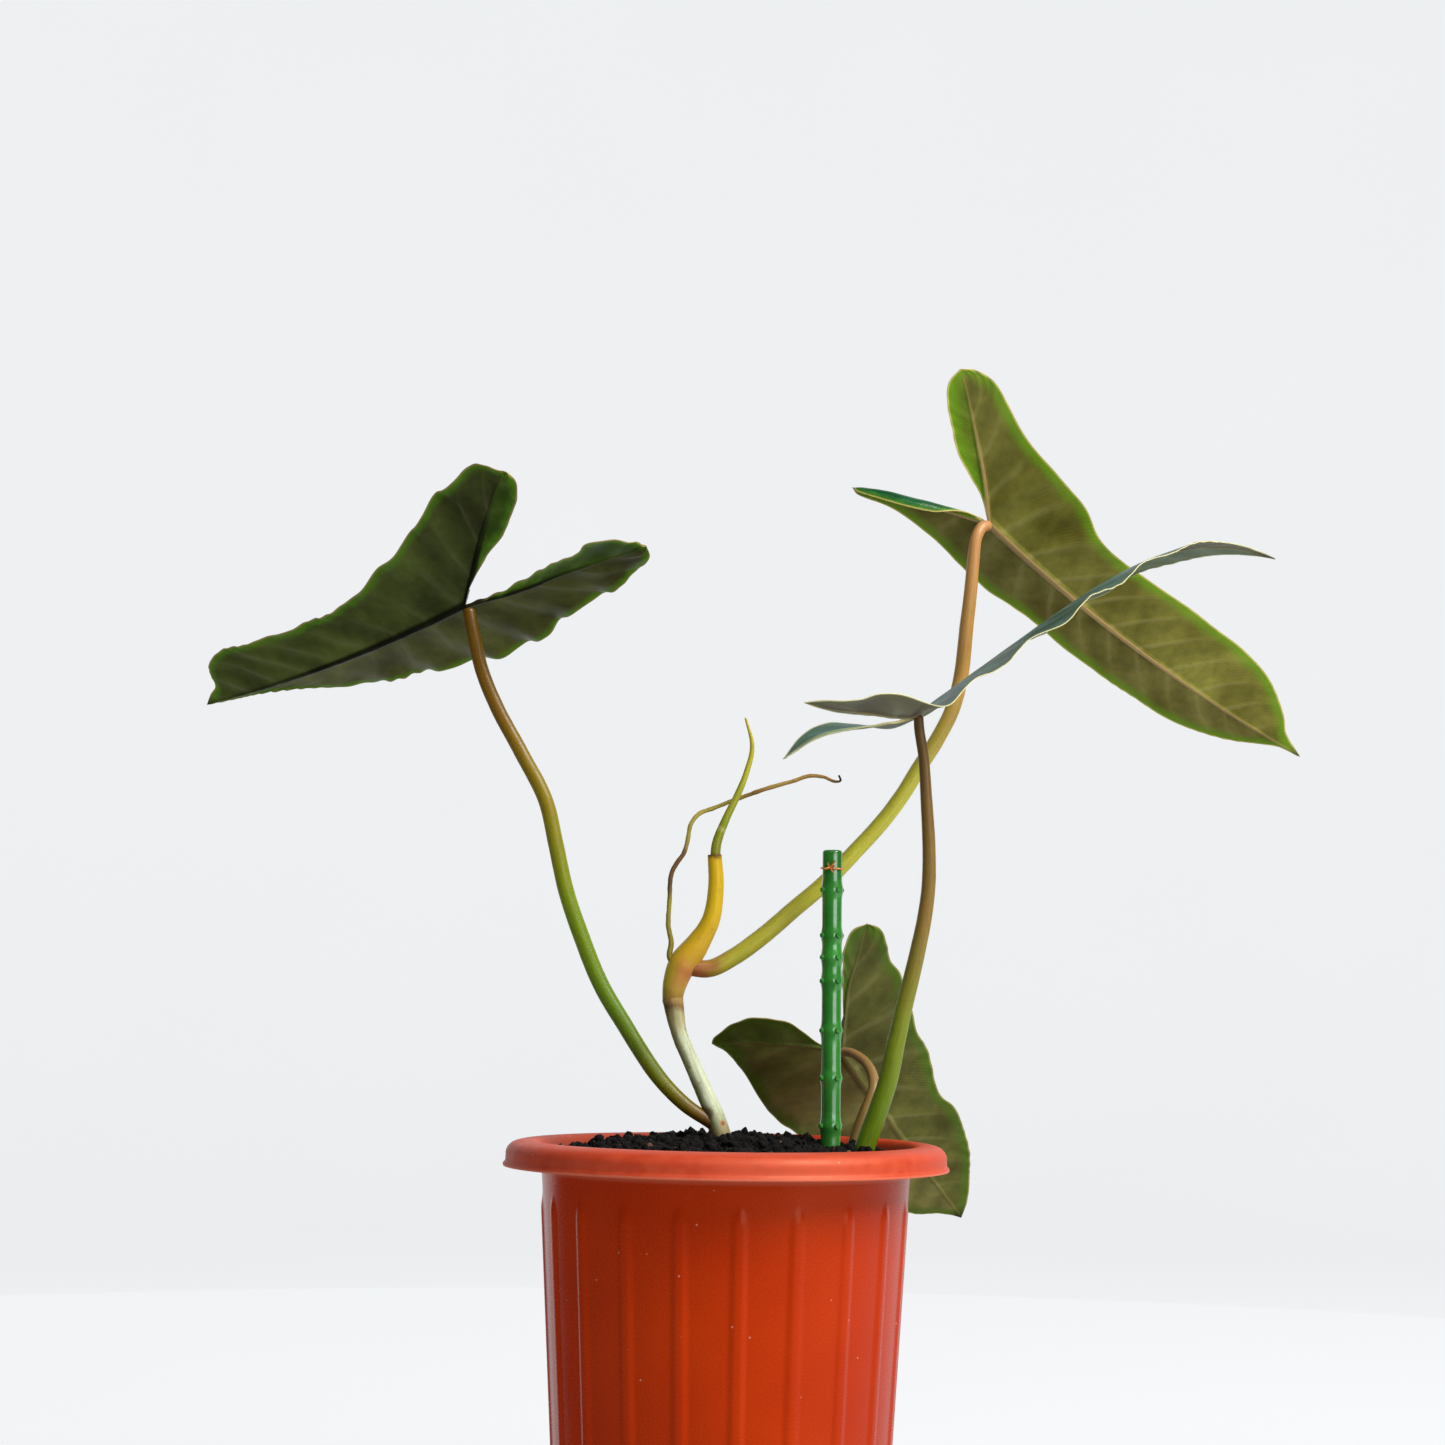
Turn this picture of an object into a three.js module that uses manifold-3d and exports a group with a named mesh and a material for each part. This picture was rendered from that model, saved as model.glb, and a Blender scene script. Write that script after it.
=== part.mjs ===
// A potted philodendron: four arrow-shaped leaves on long stalks, a young stem with new growth and an
// aerial root, a green plant stake with a wire tie, and a ribbed plastic pot filled with soil.
// Millimetres, +Z up. The origin is the centre of the pot's underside. The plant is seen along +Y.
import * as THREE from "three";
import { mergeVertices } from "three/addons/utils/BufferGeometryUtils.js";
import Module from "manifold-3d";

const wasm = await Module();
wasm.setup();

// Driving dimensions of the pot
const POT_HEIGHT = 235;
const POT_FOOT_RADIUS = 88.3;
const POT_TAPER = 0.0589; // radius gained per millimetre of height
const POT_WALL = 2.2;
const POT_FLOOR = 2.5;
const POT_EDGE = 3; // how far the bottom's edge is broken
const RIM_CREST_RADIUS = 110;
const RIM_LIP_RADIUS = 122.7;
const RIM_UNDERSIDE = 221; // height of the lip's lower edge
const POT_RIBS = 20;
const POT_RIB_PROUD = 1;
const POT_RIB_HALF_ANGLE = 3.2; // degrees, at the rib's foot
const POT_RIB_CROWN_HALF_ANGLE = 1.6;
const POT_FIRST_RIB = 4.3; // degrees from the front towards the right
const DRAIN_HOLES = 6;
const DRAIN_HOLE_RADIUS = 5;
const DRAIN_CIRCLE_RADIUS = 55;
const DRAIN_SIDES = 10;

// Driving dimensions of the soil, stake and tie
const SOIL_EDGE_HEIGHT = 226.5;
const SOIL_MOUND = 10;
const SOIL_LUMP = 1.6;
const STAKE_RADIUS = 5.4;
const STAKE_TOP = [56, -12, 396];
const STAKE_FOOT = [58, -12, 60];
const STAKE_POINT = 14; // length of its pointed foot
const STAKE_EDGE = 0.8; // how far its top edge is rounded
const STAKE_SIDES = 16;
const STAKE_NUB_HEIGHTS = [374, 349, 337, 324, 297, 271, 245];
const STAKE_NUBS_IN_ROW = 4;
const STAKE_NUB_PROUD = 1.1;
const STAKE_NUB_RADIUS = 1.5;
const STAKE_NUB_TIP_RADIUS = 0.6;
const STAKE_NUB_SIDES = 5;
const STAKE_NUB_ANGLE = 31; // degrees from the front towards the right, for the first nub of a row
const TIE_HEIGHT = 386;
const TIE_WIRE_RADIUS = 0.5;
const TIE_SLANT = 5; // degrees
const TIE_SIDES = 18; // round the stake
const TIE_WIRE_SIDES = 6;
const TIE_END_SIDES = 5;

// Gap between pieces that touch, and the thickness of a leaf blade at its margin
const CLEARANCE = 0.3;
const BLADE_THICKNESS = 0.8;

// How finely the pieces are divided
const BLADE_ROWS = 18;
const LOBE_ROWS = 9;
const BLADE_COLUMNS = [0, 0.07, 0.35, 0.7, 1];
const NOTCH_COLUMNS = [0, 0.12, 0.55, 1];
const STEM_SIDES = 8;
const ROOT_SIDES = 6;
const SOIL_SIDES = 32;

const rad = THREE.MathUtils.degToRad;
const vec = (p) => new THREE.Vector3(...p);

// Meshes and solids

class MeshBuilder {
  constructor() {
    this.points = [];
    this.faces = [];
    this.seen = new Map();
  }

  add(p) {
    this.points.push(p);
    return this.points.length - 1;
  }

  // Gives points that coincide one shared index.
  share(p) {
    const key = p.map((value) => Math.round(value * 500)).join(" ");
    if (!this.seen.has(key)) this.seen.set(key, this.add(p));
    return this.seen.get(key);
  }

  face(a, b, c) {
    if (a !== b && b !== c && c !== a) this.faces.push([a, b, c]);
  }

  quad(a, b, c, d) {
    this.face(a, b, c);
    this.face(a, c, d);
  }

  // Joins rings of indices, each ring a closed loop.
  skin(rings) {
    for (let i = 0; i + 1 < rings.length; i++) {
      const count = rings[i].length;
      for (let j = 0; j < count; j++) {
        const k = (j + 1) % count;
        this.quad(rings[i][j], rings[i][k], rings[i + 1][k], rings[i + 1][j]);
      }
    }
  }

  geometry() {
    const geometry = new THREE.BufferGeometry();
    geometry.setAttribute("position", new THREE.Float32BufferAttribute(this.points.flat(), 3));
    geometry.setIndex(this.faces.flat());
    return geometry;
  }
}

function toSolid(geometry) {
  const bare = geometry.clone();
  bare.deleteAttribute("normal");
  bare.deleteAttribute("uv");
  const merged = mergeVertices(bare, 1e-4);
  const mesh = new wasm.Mesh({
    numProp: 3,
    vertProperties: merged.attributes.position.array,
    triVerts: new Uint32Array(merged.index.array),
  });
  return new wasm.Manifold(mesh);
}

function toGeometry(solid) {
  const mesh = solid.getMesh();
  const geometry = new THREE.BufferGeometry();
  geometry.setAttribute("position", new THREE.BufferAttribute(new Float32Array(mesh.vertProperties), 3));
  geometry.setIndex(new THREE.BufferAttribute(new Uint32Array(mesh.triVerts), 1));
  return geometry;
}

// Cuts the tools out of a piece and keeps its largest body.
function cutAway(geometry, ...tools) {
  const cut = tools.reduce((solid, tool) => solid.subtract(toSolid(tool)), toSolid(geometry));
  const bodies = cut.decompose().sort((a, b) => b.volume() - a.volume());
  return toGeometry(bodies[0]);
}

function join(first, ...others) {
  return toGeometry(others.reduce((solid, other) => solid.add(toSolid(other)), toSolid(first)));
}

const evenAngles = (count) => Array.from({ length: count }, (_, i) => (i * 2 * Math.PI) / count);

// A solid of revolution about Z. Its profile runs from the axis round to the axis as [radius, height],
// and reshape may move a profile point at one angle.
function revolve(profile, angles, reshape = (point) => point) {
  const builder = new MeshBuilder();
  const rings = profile.map((point) =>
    angles.map((angle) => {
      const [radius, height] = reshape(point, angle);
      return builder.share([radius * Math.sin(angle), -radius * Math.cos(angle), height]);
    }),
  );
  builder.skin(rings);
  return builder.geometry();
}

// A closed tube through the route's points. Its radii are spread evenly along it. With room, it is
// that much wider and longer, as a tool that cuts a seat with clearance.
function tube({ route, radii, steps, sides }, room = 0) {
  const ends = route.map(vec);
  const last = ends.length - 1;
  const outward = (a, b) => a.clone().sub(b).setLength(room);
  if (room > 0) {
    ends[0].add(outward(ends[0], ends[1]));
    ends[last].add(outward(ends[last], ends[last - 1]));
  }
  const curve = new THREE.CatmullRomCurve3(ends, false, "centripetal");
  const frames = curve.computeFrenetFrames(steps, false);
  const builder = new MeshBuilder();
  const rings = [];
  for (let i = 0; i <= steps; i++) {
    const centre = curve.getPointAt(i / steps);
    const place = (i / steps) * (radii.length - 1);
    const from = Math.min(Math.floor(place), radii.length - 2);
    const radius = THREE.MathUtils.lerp(radii[from], radii[from + 1], place - from) + room;
    const ring = evenAngles(sides).map((angle) => {
      const point = centre.clone();
      point.addScaledVector(frames.normals[i], radius * Math.cos(angle));
      point.addScaledVector(frames.binormals[i], radius * Math.sin(angle));
      return builder.share(point.toArray());
    });
    rings.push(ring);
  }
  const start = builder.share(curve.getPointAt(0).toArray());
  const end = builder.share(curve.getPointAt(1).toArray());
  builder.skin([rings[0].map(() => start), ...rings, rings[steps].map(() => end)]);
  return builder.geometry();
}

// Pot: a moulded shell with raised ribs, a rolled rim that is open below, and drain holes

const bodyRadius = (height) => POT_FOOT_RADIUS + POT_TAPER * height;
const innerRadius = (height) => bodyRadius(height) - POT_WALL;

const RIB_FOOT = 8;
const RIB_TOP = 208;
const RIB_RUN_OUT = 5; // how far below its top or above its foot a rib reaches its full height
const INSIDE_FOOT = 6; // height at which the inner wall turns in to the floor
const INSIDE_TURN = 2.5;

const POT_OUTSIDE = [
  [0, 0],
  [bodyRadius(0) - POT_EDGE, 0],
  [bodyRadius(POT_EDGE), POT_EDGE],
  [bodyRadius(RIB_FOOT), RIB_FOOT],
  [bodyRadius(RIB_FOOT + RIB_RUN_OUT), RIB_FOOT + RIB_RUN_OUT],
  [bodyRadius(RIB_TOP - RIB_RUN_OUT), RIB_TOP - RIB_RUN_OUT],
  [bodyRadius(RIB_TOP), RIB_TOP],
];
const RIM_PROFILE = [
  [101.2, 217],
  [104.3, 230],
  [109, 232.8],
  [115.5, 231.6],
  [119.2, 226],
  [120.9, RIM_UNDERSIDE],
  [RIM_LIP_RADIUS, RIM_UNDERSIDE],
  [RIM_LIP_RADIUS, 222.4],
  [121.3, 224],
  [121, 229.5],
  [118, 233.3],
  [RIM_CREST_RADIUS, POT_HEIGHT],
  [104.6, 234.2],
  [102.2, 231],
  [99.6, 220],
];
const POT_INSIDE = [
  [innerRadius(211), 211],
  [innerRadius(INSIDE_FOOT), INSIDE_FOOT],
  [innerRadius(INSIDE_FOOT) - INSIDE_TURN, POT_FLOOR],
  [0, POT_FLOOR],
];

function potAngles() {
  const period = 360 / POT_RIBS;
  const crown = POT_RIB_CROWN_HALF_ANGLE;
  const foot = POT_RIB_HALF_ANGLE;
  const angles = [];
  for (let i = 0; i < POT_RIBS; i++) {
    const middle = POT_FIRST_RIB + i * period;
    angles.push(...[-foot, -crown, crown, foot, period / 2].map((turn) => rad(middle + turn)));
  }
  return angles;
}

function raiseRibs([radius, height], angle) {
  const onWall = height > RIB_FOOT && height < RIB_TOP && radius >= bodyRadius(height) - 0.01;
  const turns = (THREE.MathUtils.radToDeg(angle) - POT_FIRST_RIB) / (360 / POT_RIBS);
  const fromRib = Math.abs(turns - Math.round(turns)) * (360 / POT_RIBS);
  const onCrown = fromRib < (POT_RIB_CROWN_HALF_ANGLE + POT_RIB_HALF_ANGLE) / 2;
  return [onWall && onCrown ? radius + POT_RIB_PROUD : radius, height];
}

function buildPot() {
  const shell = revolve([...POT_OUTSIDE, ...RIM_PROFILE, ...POT_INSIDE], potAngles(), raiseRibs);
  const drains = evenAngles(DRAIN_HOLES).map((angle) => {
    const radius = DRAIN_HOLE_RADIUS;
    const drain = new THREE.CylinderGeometry(radius, radius, 4 * POT_FLOOR, DRAIN_SIDES);
    drain.rotateX(Math.PI / 2);
    drain.translate(DRAIN_CIRCLE_RADIUS * Math.cos(angle), DRAIN_CIRCLE_RADIUS * Math.sin(angle), 0);
    return drain;
  });
  return cutAway(shell, ...drains);
}

// Plant: routes of its stems, listed from the foot up, with the depth Y away from the viewer

const MAIN_STEM = {
  route: [
    [6, 0, 188],
    [2, 0, 215],
    [-3, 0, 238],
    [-8, 0, 252],
    [-14, 1, 265],
    [-20, 2, 278],
    [-27, 3, 294],
    [-31, 4, 313],
  ],
  radii: [4.6, 5.2, 5.8, 5.6, 4.8, 4.4, 4.4, 5.9],
  steps: 18,
  sides: STEM_SIDES,
};
const SHEATH = {
  route: [
    [-31.3, 4, 311],
    [-30, 4, 321],
    [-26, 4, 332],
    [-18, 3, 343],
    [-10.5, 1, 357],
    [-8, 0, 375],
    [-9, 0, 393],
  ],
  radii: [5.4, 6.8, 8, 7.2, 5.6, 4.9, 4.5, 4.2, 3.9],
  steps: 16,
  sides: STEM_SIDES,
};
const LEAF_SPIKE = {
  route: [
    [-8.6, 0, 385],
    [-8, 0, 399],
    [-3, 0, 413],
    [3, 1, 426],
    [8, 1, 439],
    [11, 2, 454],
    [7, 3, 470],
  ],
  radii: [2.9, 2.9, 2.5, 2.2, 1.8, 1.4, 0.6],
  steps: 14,
  sides: STEM_SIDES,
};
const AERIAL_ROOT = {
  route: [
    [-28, 4, 330],
    [-33, 2, 336],
    [-32.3, 2, 344],
    [-34, 1, 353],
    [-33.6, 0, 368],
    [-33, 0, 381],
    [-30, 1, 388],
    [-26, 2, 394],
    [-24, 4, 402],
    [-22.5, 5, 410],
    [-18, 7, 416],
    [-10, 9, 419.5],
    [1, 10, 424],
    [9, 9, 427],
    [20, 8, 431],
    [34, 6, 435],
    [43, 5, 438],
    [51, 4, 437.5],
    [57.5, 3, 435],
    [60.5, 3, 435.5],
    [59.5, 2, 438.5],
  ],
  radii: [1.9, 1.4, 1.3, 1.3, 1.25, 1.25, 1.2, 1.2, 1.2, 1.1, 0.6],
  steps: 34,
  sides: ROOT_SIDES,
};
const PETIOLE_LEFT = {
  route: [
    [-5, 0, 243],
    [-11, -1, 247],
    [-23, -2, 255],
    [-38, -3, 270],
    [-57, -4, 298],
    [-71, -4, 321],
    [-82.5, -4, 348],
    [-91, -4, 372],
    [-97, -4, 397],
    [-103.5, -4, 422],
    [-118, -3, 449],
    [-131.5, -2, 473],
    [-140.5, -2, 494],
    [-145, -2, 512],
    [-149, -1, 529],
  ],
  radii: [3.6, 4.4, 4.6, 4.5, 4.3, 4.1, 3.9, 3.6],
  steps: 20,
  sides: STEM_SIDES,
};
const PETIOLE_UPPER_RIGHT = {
  route: [
    [-24, 4, 331],
    [-11, 6, 330],
    [3, 8, 337],
    [19, 10, 349],
    [36, 13, 364],
    [52, 16, 378],
    [69, 19, 396],
    [85, 22, 414],
    [96, 24, 429],
    [105, 26, 444],
    [115, 27, 460],
    [124, 28, 478],
    [129, 29, 497],
    [132, 27, 527],
    [134, 26, 546],
    [135.5, 25.5, 566],
    [137, 26, 577],
    [140.5, 29, 583.5],
    [145, 33, 585],
  ],
  radii: [4.9, 4.9, 4.7, 4.5, 4.4, 4.3, 4.2, 3.7, 3.2],
  steps: 26,
  sides: STEM_SIDES,
};
const PETIOLE_RIGHT = {
  route: [
    [71, -15, 188],
    [72, -13, 208],
    [75, -12, 231],
    [82, -14, 252],
    [88, -16, 271],
    [92, -18, 292],
    [96, -20, 311],
    [100, -22, 328],
    [103, -24, 342],
    [106, -26, 358],
    [108, -28, 375],
    [108, -31, 396],
    [106, -35, 424],
    [104, -38, 447],
    [101.5, -40, 461],
    [101, -40, 469],
  ],
  radii: [5.8, 5.7, 5.4, 5, 4.5, 4, 3.6, 3.1, 2.7],
  steps: 22,
  sides: STEM_SIDES,
};
const PETIOLE_LOW = {
  route: [
    [67, 28, 192],
    [69, 29, 215],
    [72, 30, 235],
    [78, 32, 252],
    [82.5, 36, 264],
    [82, 43, 272],
    [78, 53, 279],
    [71, 63, 283.5],
    [65.5, 70, 284],
  ],
  radii: [4.2, 4, 3.6, 3.2, 2.8, 2.6],
  steps: 16,
  sides: STEM_SIDES,
};

// Leaf blades

// Each blade is drawn flat, with x from the leaf stalk to the tip and y to the left side as seen from
// above. tip is the direction of its midrib and bank its turn about it. sickle bends the midrib
// sideways and droop bends it down, both 200 mm out.
// A half has its outer edge, the share of it that lies ahead of the stalk, the tip of its lobe, the
// lobe's rib and the edge of the notch between the lobes, from the stalk outwards. fold raises the
// half, lift raises its lobe and fall lets the lobe's end hang. curl rolls the notch's edge down, and
// twist turns the lobe about its rib. Angles are in degrees.
const PLAIN_HALF = { lift: 0, fall: 0, curl: 10, twist: 0 };
const LEAF_LEFT = {
  stalk: [-150.3, 0, 531.1],
  tip: [-0.733, 0.616, -0.29],
  bank: -22,
  length: 217,
  sickle: 10,
  droop: -12,
  droopPower: 2,
  wave: { height: 1.8, pitch: 34, start: 0.6 },
  left: {
    ...PLAIN_HALF,
    fold: 20,
    ahead: 0.7,
    edge: [
      [208, 17], [199, 21], [195, 29], [189, 36], [178, 40], [158, 39], [136, 36], [107, 34],
      [67, 34], [32, 43], [3, 50], [-19, 59], [-45, 67], [-62, 69], [-78, 67],
    ],
    lobe: [-88, 59],
    rib: [[-16, 12], [-36, 27], [-59, 43], [-76, 53]],
    notch: [[-11, 8], [-25, 15], [-41, 22], [-55, 27], [-68, 34], [-80, 42], [-88, 51]],
    curl: 15,
  },
  right: {
    ...PLAIN_HALF,
    fold: 6,
    ahead: 0.64,
    edge: [
      [206, 9], [190, 6], [174, 3], [158, -3], [139, -14], [116, -26], [93, -34], [61, -44],
      [38, -51], [18, -56], [-9, -55], [-37, -48], [-64, -47], [-84, -44], [-98, -40], [-110, -34],
    ],
    lobe: [-115, -26],
    rib: [[-31, -10], [-58, -14], [-79, -18], [-98, -23]],
    notch: [[-22, -4], [-46, -3], [-68, -2], [-84, -4], [-93, 0], [-102, -2], [-109, -9], [-114, -18]],
  },
};
const LEAF_UPPER_RIGHT = {
  stalk: [144.2, 35, 587.3],
  tip: [0.671, 0.545, -0.503],
  bank: 39,
  length: 272,
  sickle: -16,
  droop: 0,
  droopPower: 2,
  wave: { height: 0.9, pitch: 46, start: 2 },
  left: {
    ...PLAIN_HALF,
    fold: 17,
    ahead: 0.78,
    edge: [
      [256, -24], [248, -17], [233, -3], [213, 9], [189, 17], [165, 21], [138, 25], [110, 28],
      [84, 29], [63, 31], [43, 35], [22, 35], [0, 34], [-18, 35], [-36, 37], [-48, 42], [-58, 48],
    ],
    lobe: [-65, 47],
    rib: [[-19, 12], [-37, 25], [-54, 38]],
    notch: [[-14, 3], [-26, 5], [-47, 13], [-62, 27], [-68, 39]],
    curl: 150,
  },
  right: {
    ...PLAIN_HALF,
    fold: 17,
    ahead: 0.72,
    edge: [
      [252, -34], [243, -40], [215, -50], [189, -51], [158, -48], [126, -44], [85, -38],
      [62, -38], [40, -45], [13, -47], [-6, -48], [-27, -51], [-46, -56], [-62, -60], [-75, -57],
    ],
    lobe: [-82, -51],
    rib: [[-20, -15], [-41, -28], [-58, -38], [-72, -46]],
    notch: [[-15, -8], [-30, -12], [-47, -17], [-61, -25], [-73, -32], [-82, -41]],
  },
};
const LEAF_RIGHT = {
  stalk: [101, -40, 470.6],
  tip: [0.748, 0.332, 0.575],
  bank: 9,
  length: 242,
  sickle: 0,
  droop: 15.6,
  droopPower: 6,
  wave: { height: 2.6, pitch: 44, start: 0 },
  left: {
    fold: -8,
    lift: 66,
    fall: 34,
    ahead: 0.76,
    edge: [
      [224, 9], [200, 20], [170, 30], [135, 37], [98, 40],
      [55, 37], [20, 34], [-15, 31], [-38, 33], [-56, 35],
    ],
    lobe: [-68, 33],
    rib: [[-17, 9], [-38, 20], [-56, 28]],
    notch: [[-13, 5], [-30, 13], [-46, 21], [-62, 29]],
    curl: 0,
    twist: 40,
  },
  right: {
    fold: -5,
    lift: 62,
    fall: 0,
    ahead: 0.76,
    edge: [
      [224, -9], [200, -20], [170, -30], [135, -37], [98, -40],
      [55, -37], [20, -38], [-15, -43], [-36, -44], [-54, -39],
    ],
    lobe: [-66, -30],
    rib: [[-18, -9], [-38, -19], [-54, -26]],
    notch: [[-14, -5], [-32, -12], [-48, -19], [-60, -26]],
    curl: 0,
    twist: 16,
  },
};
const LEAF_LOW = {
  stalk: [64.6, 72, 284.7],
  tip: [0.424, 0.695, -0.581],
  bank: 38,
  length: 181,
  sickle: -5,
  droop: 0,
  droopPower: 2,
  wave: { height: 1.2, pitch: 38, start: 1 },
  left: {
    ...PLAIN_HALF,
    fold: 14,
    ahead: 0.74,
    edge: [
      [176, 0], [170, 7], [163, 20], [150, 28], [125, 38], [90, 47], [55, 52], [39, 58], [11, 58],
      [-14, 57], [-29, 58],
    ],
    lobe: [-39, 63],
    rib: [[-13, 15], [-25, 33], [-35, 49]],
    notch: [[-11, 8], [-25, 12], [-38, 16], [-46, 24], [-52, 32], [-53, 42], [-49, 52], [-43, 60]],
  },
  right: {
    ...PLAIN_HALF,
    fold: 14,
    ahead: 0.68,
    edge: [
      [175, -11], [167, -17], [156, -23], [139, -31], [118, -36], [99, -38], [87, -35], [74, -36],
      [48, -43], [26, -44], [14, -48], [-7, -51], [-18, -54], [-29, -53], [-42, -56], [-56, -58],
    ],
    lobe: [-64, -53],
    rib: [[-20, -13], [-38, -26], [-54, -42]],
    notch: [[-13, -9], [-29, -17], [-50, -27], [-63, -35], [-68, -45]],
  },
};

const LENGTH_UNIT = 200; // sickle and droop are stated this far out along the midrib
const LOBE_UNIT = 80; // lift and fall are stated this far back from the stalk
const LOBE_EASE = 12; // how softly a lifted lobe starts
const WAVE_UNIT = 45; // distance from the midrib at which a wave has its stated height
const WAVE_MOST = 1.2; // share of that distance beyond which it grows no more
const RIB_BULGE = 2; // how far the midrib stands out below at the stalk
const MIDRIB_TIP = 0.1; // share of that bulge left at the tip
const LOBE_RIB = 0.8; // share of it with which a lobe's rib starts
const TWIST_RUN = 0.6; // share of the lobe within which its twist is reached
const CURL_RUN = 0.4;

const flat = (x, y) => new THREE.Vector3(x, y, 0);
const smoothLine = (points) => new THREE.CatmullRomCurve3(points, false, "centripetal");

// The matrix of a blade's own axes: along the midrib, to its left, and out of its upper face.
function bladeFrame(leaf) {
  const along = vec(leaf.tip).normalize();
  const up = new THREE.Vector3(0, 0, 1);
  const level = up.clone().addScaledVector(along, -up.dot(along)).normalize();
  const across = new THREE.Vector3().crossVectors(level, along);
  const bank = rad(leaf.bank);
  const above = level.multiplyScalar(Math.cos(bank)).addScaledVector(across, Math.sin(bank));
  const left = new THREE.Vector3().crossVectors(above, along);
  return new THREE.Matrix4().makeBasis(along, left, above).setPosition(vec(leaf.stalk));
}

const midribY = (leaf, x) => leaf.sickle * (Math.max(x, 0) / LENGTH_UNIT) ** 2;

// Bends a point of the flat drawing, with its height above it, to the blade's real form.
function bend(leaf, half, sign, p) {
  const middle = midribY(leaf, p.x);
  const out = Math.max(sign * (p.y - middle), 0);
  const fold = rad(half.fold);
  const ahead = Math.max(p.x, 0) / LENGTH_UNIT;
  const back = Math.max(-p.x, 0) / LOBE_UNIT;
  const ease = LOBE_EASE / LOBE_UNIT;
  const swing = leaf.wave.height * Math.min(out / WAVE_UNIT, WAVE_MOST) ** 2;
  const rise =
    out * Math.sin(fold) -
    leaf.droop * ahead ** leaf.droopPower +
    half.lift * (Math.hypot(back, ease) - ease) -
    half.fall * back ** 3 +
    swing * Math.sin((2 * Math.PI * p.x) / leaf.wave.pitch + leaf.wave.start + sign);
  return new THREE.Vector3(p.x, p.y - sign * out * (1 - Math.cos(fold)), p.z + rise);
}

// A point at a share of the way from the lobe's rib to an edge, rolled down by curl and turned by
// twist about the rib.
function acrossLobe(onRib, onEdge, share, direction, curl, twist) {
  const width = onEdge.clone().sub(onRib);
  const length = width.dot(direction);
  const sideways = width.addScaledVector(direction, -length);
  const reach = sideways.length();
  const point = onRib.clone().addScaledVector(direction, length * share);
  if (reach < 1e-6) return point;
  const roll = Math.max(curl, 1e-3);
  const out = (reach * Math.sin(roll * share)) / roll;
  const down = (reach * (1 - Math.cos(roll * share))) / roll;
  point.addScaledVector(sideways, (out * Math.cos(twist) + down * Math.sin(twist)) / reach);
  point.z += out * Math.sin(twist) - down * Math.cos(twist);
  return point;
}

// The rows of points of one half: outer rows from the tip past the stalk to the lobe's tip, and notch
// rows between the lobe's rib and the notch.
function halfRows(leaf, half, sign) {
  const tip = flat(leaf.length, midribY(leaf, leaf.length));
  const lobeTip = flat(...half.lobe);
  const points = (list) => list.map((p) => flat(...p));
  const edge = smoothLine([tip, ...points(half.edge), lobeTip]);
  const rib = smoothLine([flat(0, 0), ...points(half.rib), lobeTip]);
  const notch = smoothLine([flat(0, 0), ...points(half.notch), lobeTip]);
  const row = (shares, bulge, pointAt) =>
    shares.map((share) => ({
      place: bend(leaf, half, sign, pointAt(share)),
      bulge: share === 0 ? bulge : 0,
    }));
  const outer = [];
  const inner = [];
  for (let i = 0; i <= BLADE_ROWS; i++) {
    const u = i / BLADE_ROWS;
    const x = leaf.length * (1 - u);
    const spine = flat(x, midribY(leaf, x));
    const margin = edge.getPointAt(u * half.ahead);
    const bulge = RIB_BULGE * THREE.MathUtils.lerp(MIDRIB_TIP, 1, u);
    outer.push(row(BLADE_COLUMNS, bulge, (share) => spine.clone().lerp(margin, share)));
  }
  for (let i = 0; i <= LOBE_ROWS; i++) {
    const u = i / LOBE_ROWS;
    const spine = rib.getPointAt(u);
    const direction = rib.getTangentAt(u);
    const margin = edge.getPointAt(half.ahead + (1 - half.ahead) * u);
    const within = notch.getPointAt(u);
    const twist = rad(half.twist) * THREE.MathUtils.smoothstep(u, 0, TWIST_RUN);
    const curl = rad(half.curl) * Math.min(1, u / CURL_RUN);
    const bulge = RIB_BULGE * LOBE_RIB * (1 - u);
    const outward = (share) => acrossLobe(spine, margin, share, direction, 0, twist);
    const inward = (share) => acrossLobe(spine, within, share, direction, curl, -twist);
    if (i > 0) outer.push(row(BLADE_COLUMNS, bulge, outward));
    inner.push(row(NOTCH_COLUMNS, bulge, inward));
  }
  return { outer, inner };
}

// Gives a sheet its thickness on both sides, with the bulges added below, and closes its edges.
function thicken(sheet, bulges, halfThickness) {
  const surface = sheet.geometry();
  surface.computeVertexNormals();
  const normals = surface.attributes.normal;
  const builder = new MeshBuilder();
  const top = [];
  const bottom = [];
  sheet.points.forEach((p, i) => {
    const normal = new THREE.Vector3().fromBufferAttribute(normals, i);
    top.push(builder.add(vec(p).addScaledVector(normal, halfThickness).toArray()));
    bottom.push(builder.add(vec(p).addScaledVector(normal, -halfThickness - bulges[i]).toArray()));
  });
  const edges = new Map();
  for (const [a, b, c] of sheet.faces) {
    builder.face(top[a], top[b], top[c]);
    builder.face(bottom[c], bottom[b], bottom[a]);
    for (const [from, to] of [[a, b], [b, c], [c, a]]) edges.set(`${from} ${to}`, [from, to]);
  }
  for (const [from, to] of edges.values()) {
    if (!edges.has(`${to} ${from}`)) builder.quad(bottom[from], bottom[to], top[to], top[from]);
  }
  return builder.geometry();
}

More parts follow.
